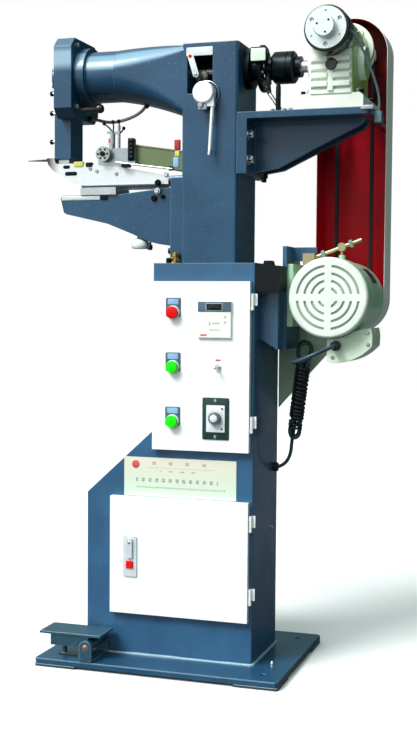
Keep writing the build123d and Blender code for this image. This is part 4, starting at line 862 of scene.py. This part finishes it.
axis_x, axis_z = (low[0] + high[0]) / 2, (low[2] + high[2]) / 2
for number in range(3):
    turn = math.radians(30 + 120 * number)
    turned(f"disc_screw_{number + 1}", [(3.7, 0), (3.7, 3.4), (3.0, 4.0), (1.9, 4.0), (1.7, 2.2), (0.3, 2.2)],
           (axis_x + 33 * math.cos(turn), -127, axis_z + 33 * math.sin(turn)), FRONT, satin,
           "worm_body", sides=24)
    turn += math.radians(14)
    turned(f"hub_screw_{number + 1}", [(2.2, 0), (2.2, 0.8), (1.6, 1.3), (0.2, 1.4)],
           (axis_x + 14 * math.cos(turn), low[1], axis_z + 14 * math.sin(turn)), FRONT, black_oxide,
           "worm_body", sides=20)
turned("level_plug", [(12.5, 0), (12.5, 6), (11.4, 7.4), (8.4, 7.6), (8, 6), (0.5, 5.6)], (342, -79.8, 1276),
       FRONT, coil_lacquer, sides=36)
turned("filler_plug", [(9, 0), (9, 4), (7.6, 5.5), (7.6, 12), (6.4, 13)], (340, 20, 1383), UP, brass, sides=6)
for number, (x, y) in enumerate(((286, -60), (394, -60), (286, 70), (394, 70)), 1):
    turned(f"gearbox_nut_{number}", [(9, 0), (9, 1.6), (7.4, 1.8), (7.4, 9), (6.4, 10.4)], (x, y, 1218),
           UP, zinc, sides=6)
carried("lifting_wire", [(372, -82, 1305), (392, -84, 1312), (404, -84, 1322), (408, -82, 1334),
                         (402, -80, 1342), (390, -78, 1336)], 1.3, satin, sides=8)


# ------------------------------------------------------------------ belt drive
# The guard is rolled and welded sheet: scarlet inside as a warning, pale cream outside. The V belt is
# dusty black rubber on two cast pulleys.
guard_low, guard_high = corners("belt_guard")
round_mm = (guard_high[0] - guard_low[0]) / 2
guard_x = (guard_low[0] + guard_high[0]) / 2
guard_paint, tree, shader, place = start_finish("two_tone_guard_paint", "guard_red", 0.42,
                                                Specular_IOR_Level=0.2)
spread = add(tree, "SeparateXYZ", {0: place})
held = add(tree, "Clamp", {"Value": spread.outputs[2], "Min": (guard_low[2] + round_mm) / 1000,
                           "Max": (guard_high[2] - round_mm) / 1000})
away = add(tree, "CombineXYZ", {0: spread.outputs[0], 2: spread.outputs[2]})
core = add(tree, "CombineXYZ", {0: guard_x / 1000, 2: held.outputs[0]})
gap = add(tree, "VectorMath", {0: away.outputs[0], 1: core.outputs[0]}, operation="DISTANCE")
outer = add(tree, "Math", {0: gap.outputs["Value"], 1: (round_mm - 1) / 1000}, operation="GREATER_THAN")
back = add(tree, "Math", {0: spread.outputs[1], 1: (guard_high[1] - 1) / 1000}, operation="GREATER_THAN")
pale = add(tree, "Math", {0: outer.outputs[0], 1: back.outputs[0]}, operation="MAXIMUM")
# The red inside darkens upward to near black as painted shade, mottled over 60 mm; the same noise varies the
# pale outside.
mottle = add(tree, "TexNoise", {"Vector": place, "Scale": 1000 / 60, "Detail": 4.0})
climb = add(tree, "MapRange", {"Value": spread.outputs[2], "From Min": 0.93, "From Max": 1.2, "To Min": 0.0,
                               "To Max": 1.35})
painted_shade = add(tree, "Math", {0: climb.outputs[0], 1: mottle.outputs[0], 2: 0.02}, operation="MULTIPLY_ADD")
red = add(tree, "Mix", {0: painted_shade.outputs[0], 6: linear("#e2001e"), 7: linear("#2a0c14")}, data_type="RGBA")
white = add(tree, "Mix", {0: mottle.outputs[0], 6: linear("#eef5e8"), 7: linear("#fbfdf6")}, data_type="RGBA")
tone = add(tree, "Mix", {0: pale.outputs[0], 6: red.outputs[2], 7: white.outputs[2]}, data_type="RGBA")
tree.links.new(tone.outputs[2], shader.inputs["Base Color"])
peel = add(tree, "TexNoise", {"Vector": place, "Scale": 1000 / 6})
skin = add(tree, "Bump", {"Height": peel.outputs[0], "Strength": 0.12, "Distance": 0.0005})
tree.links.new(skin.outputs[0], shader.inputs["Normal"])
dress(guard_paint, "belt_guard")
dress(ground, "driven_pulley", "motor_pulley")
belt_rubber = moulded("dusty_belt_rubber", "black_rubber", "#1b1c1e", grain_mm=3, roughness=0.7)
dress(belt_rubber, "v_belt")


# ------------------------------------------------------------------ motor
# A rolled steel motor frame in pale hammer green. Its fan cover is pressed from sheet and painted off
# white in front, over a dusty grille that hides the fan. Round-headed screws hold the cover's rim and
# the terminal box's lid, hexagon bolts hold the cradle, and a blank rating plate lies on the frame.
hammer = enamel("hammer_green_motor_paint", "green_paint", "#a8d8b2", "#bfdac0", peel_mm=4)
dress(hammer, "motor_frame")
cradle_paint = enamel("dull_green_cradle_paint", "green_paint", "#b2d6b6", "#dbd3b4", peel_mm=4)
dress(cradle_paint, "cradle_plate")
# A lighter gusset plate is stitched over the cradle's lower corner, with four corners in its outline.
around = np.array([(190, 737), (190, 553), (306, 682), (306, 737)], float)
middle = around.mean(0)
rows = [np.insert(middle + (around - middle) * size, 1, y, axis=1)
        for size, y in ((0.99, 98.6), (1, 98.9), (1, 99.7), (0.99, 99.9))]
gusset_paint = enamel("pale_green_gusset_paint", "green_paint", "#cbe3c6", "#e6efe0", peel_mm=4)
fit(paint_grid("cradle_gusset", np.array(rows), wrap=True), gusset_paint)
off_white = enamel("off_white_fan_cover", "white_powder", "#eaf2e6", "#fbfcf8", peel_mm=4, roughness=0.4)
tree = off_white.node_tree
depth_at = add(tree, "SeparateXYZ", {0: add(tree, "TexCoord").outputs["Object"]})
sides = add(tree, "MapRange", {"Value": depth_at.outputs[1], "From Min": -0.076, "From Max": -0.068})
tinted(off_white, sides.outputs[0], "#b0dbb6")
dress(off_white, "fan_cover")
grille = moulded("dusty_grille_mesh", "grey_plastic", "#9aa79c", grain_mm=3, roughness=0.8)
turned("cover_grille", [(75, 0), (75, 1)], (340, -77.6, 800), (0, 1, 0), grille, sides=72)
dress(ground, "motor_rotor")
box_paint = enamel("pale_green_box_paint", "green_paint", "#e0f1d6", "#f4f8ee", peel_mm=4)
dress(box_paint, "terminal_box")
dress(metal("yellow_passivated_steel", "zinc_steel", "#cbb98f", 0.36), "tension_rod")
switch_black = moulded("black_switch_box", "black_plastic", "#0a1013", roughness=0.6, Specular_IOR_Level=0.2)
dress(switch_black, "switch_box")
dress(moulded("grey_inverter_case", "grey_plastic", "#6a7073", roughness=0.45), "inverter")
motor_x, motor_z = 340, 800
turn = np.radians(np.linspace(24, 52, 13))
rating_plate = metal("blank_rating_plate", "aluminium_plate", "#4d6378", 0.4, stain=0.3)
sheet_grid = np.array([[(motor_x + r * math.cos(a), y, motor_z + r * math.sin(a))
                        for r, y in ((79.6, 28), (81, 28), (81, 78), (79.6, 78))] for a in turn])
fit(paint_grid("rating_plate", sheet_grid, wrap=True), rating_plate)
for number, (x, z) in enumerate(((-59.4, 59.4), (59.4, 59.4), (-59.4, -59.4), (59.4, -59.4)), 1):
    turned(f"cover_rim_screw_{number}", [(4, -6), (4, 0), (3, 1.4), (0.4, 1.6)],
           (motor_x + x, -44, motor_z + z), (x, 0, z), zinc, sides=20)
low = corners("terminal_box")[0]
for number, (x, z) in enumerate(((345, 676), (345, 710), (418, 728), (420, 704)), 1):
    turned(f"box_lid_screw_{number}", [(4, 0), (4, 1.6), (3.2, 2.4), (0.4, 2.6)], (x, low[1], z), FRONT, zinc,
           sides=20)
for number, (x, z) in enumerate(((240, 897), (226, 897)), 1):
    hex_bolt(f"bracket_bolt_{number}", (x if x > 230 else 228, 70, z), (1 if x > 230 else -1, 0, 0), 12, zinc)
for number, (y, z) in enumerate(((10, 768), (10, 846), (92, 768), (92, 846)), 1):
    hex_bolt(f"cradle_bolt_{number}", (250, y, z), RIGHT, 11, zinc)
turned("rod_nut_near", [(8.4, 0), (8.4, 7), (7.4, 8)], (302, 30, 893.5), (112, 0, 41), zinc, sides=6)
turned("rod_nut_far", [(8.4, 0), (8.4, 7), (7.4, 8)], (362, 30, 915.5), (112, 0, 41), zinc, sides=6)
turned("gland_nut", [(10.6, 0), (10.6, 5), (9.4, 6)], (353, -51, 700), FRONT, gland_rubber, sides=6)


# ------------------------------------------------------------------ brake lead and oil hose
# A 5 mm grey lead drops from the coil to a plug at the shelf's end. A 7 mm clear-brown nylon hose
# sags from the column to the head; both are held in the fittings they leave from.
dress(sheathed("pale_grey_lead_sheath", "cable_black", "#6f8b92"), "brake_lead")
hose_nylon = moulded("brown_nylon_hose", "cable_black", "#6d6f66", grain_mm=2.5, roughness=0.3,
                     Coat_Weight=0.3)
dress(hose_nylon, "oil_hose")
for label, at, toward in (("head", (-241, 20, 1203), (1, 0, -0.1)),
                          ("column", (-86, -12, 1224), (-0.6, 0, -1))):
    turned(f"hose_{label}_union", [(6, 0), (6, 5), (4.6, 7), (4.6, 9)], at, toward, black_oxide, sides=6)
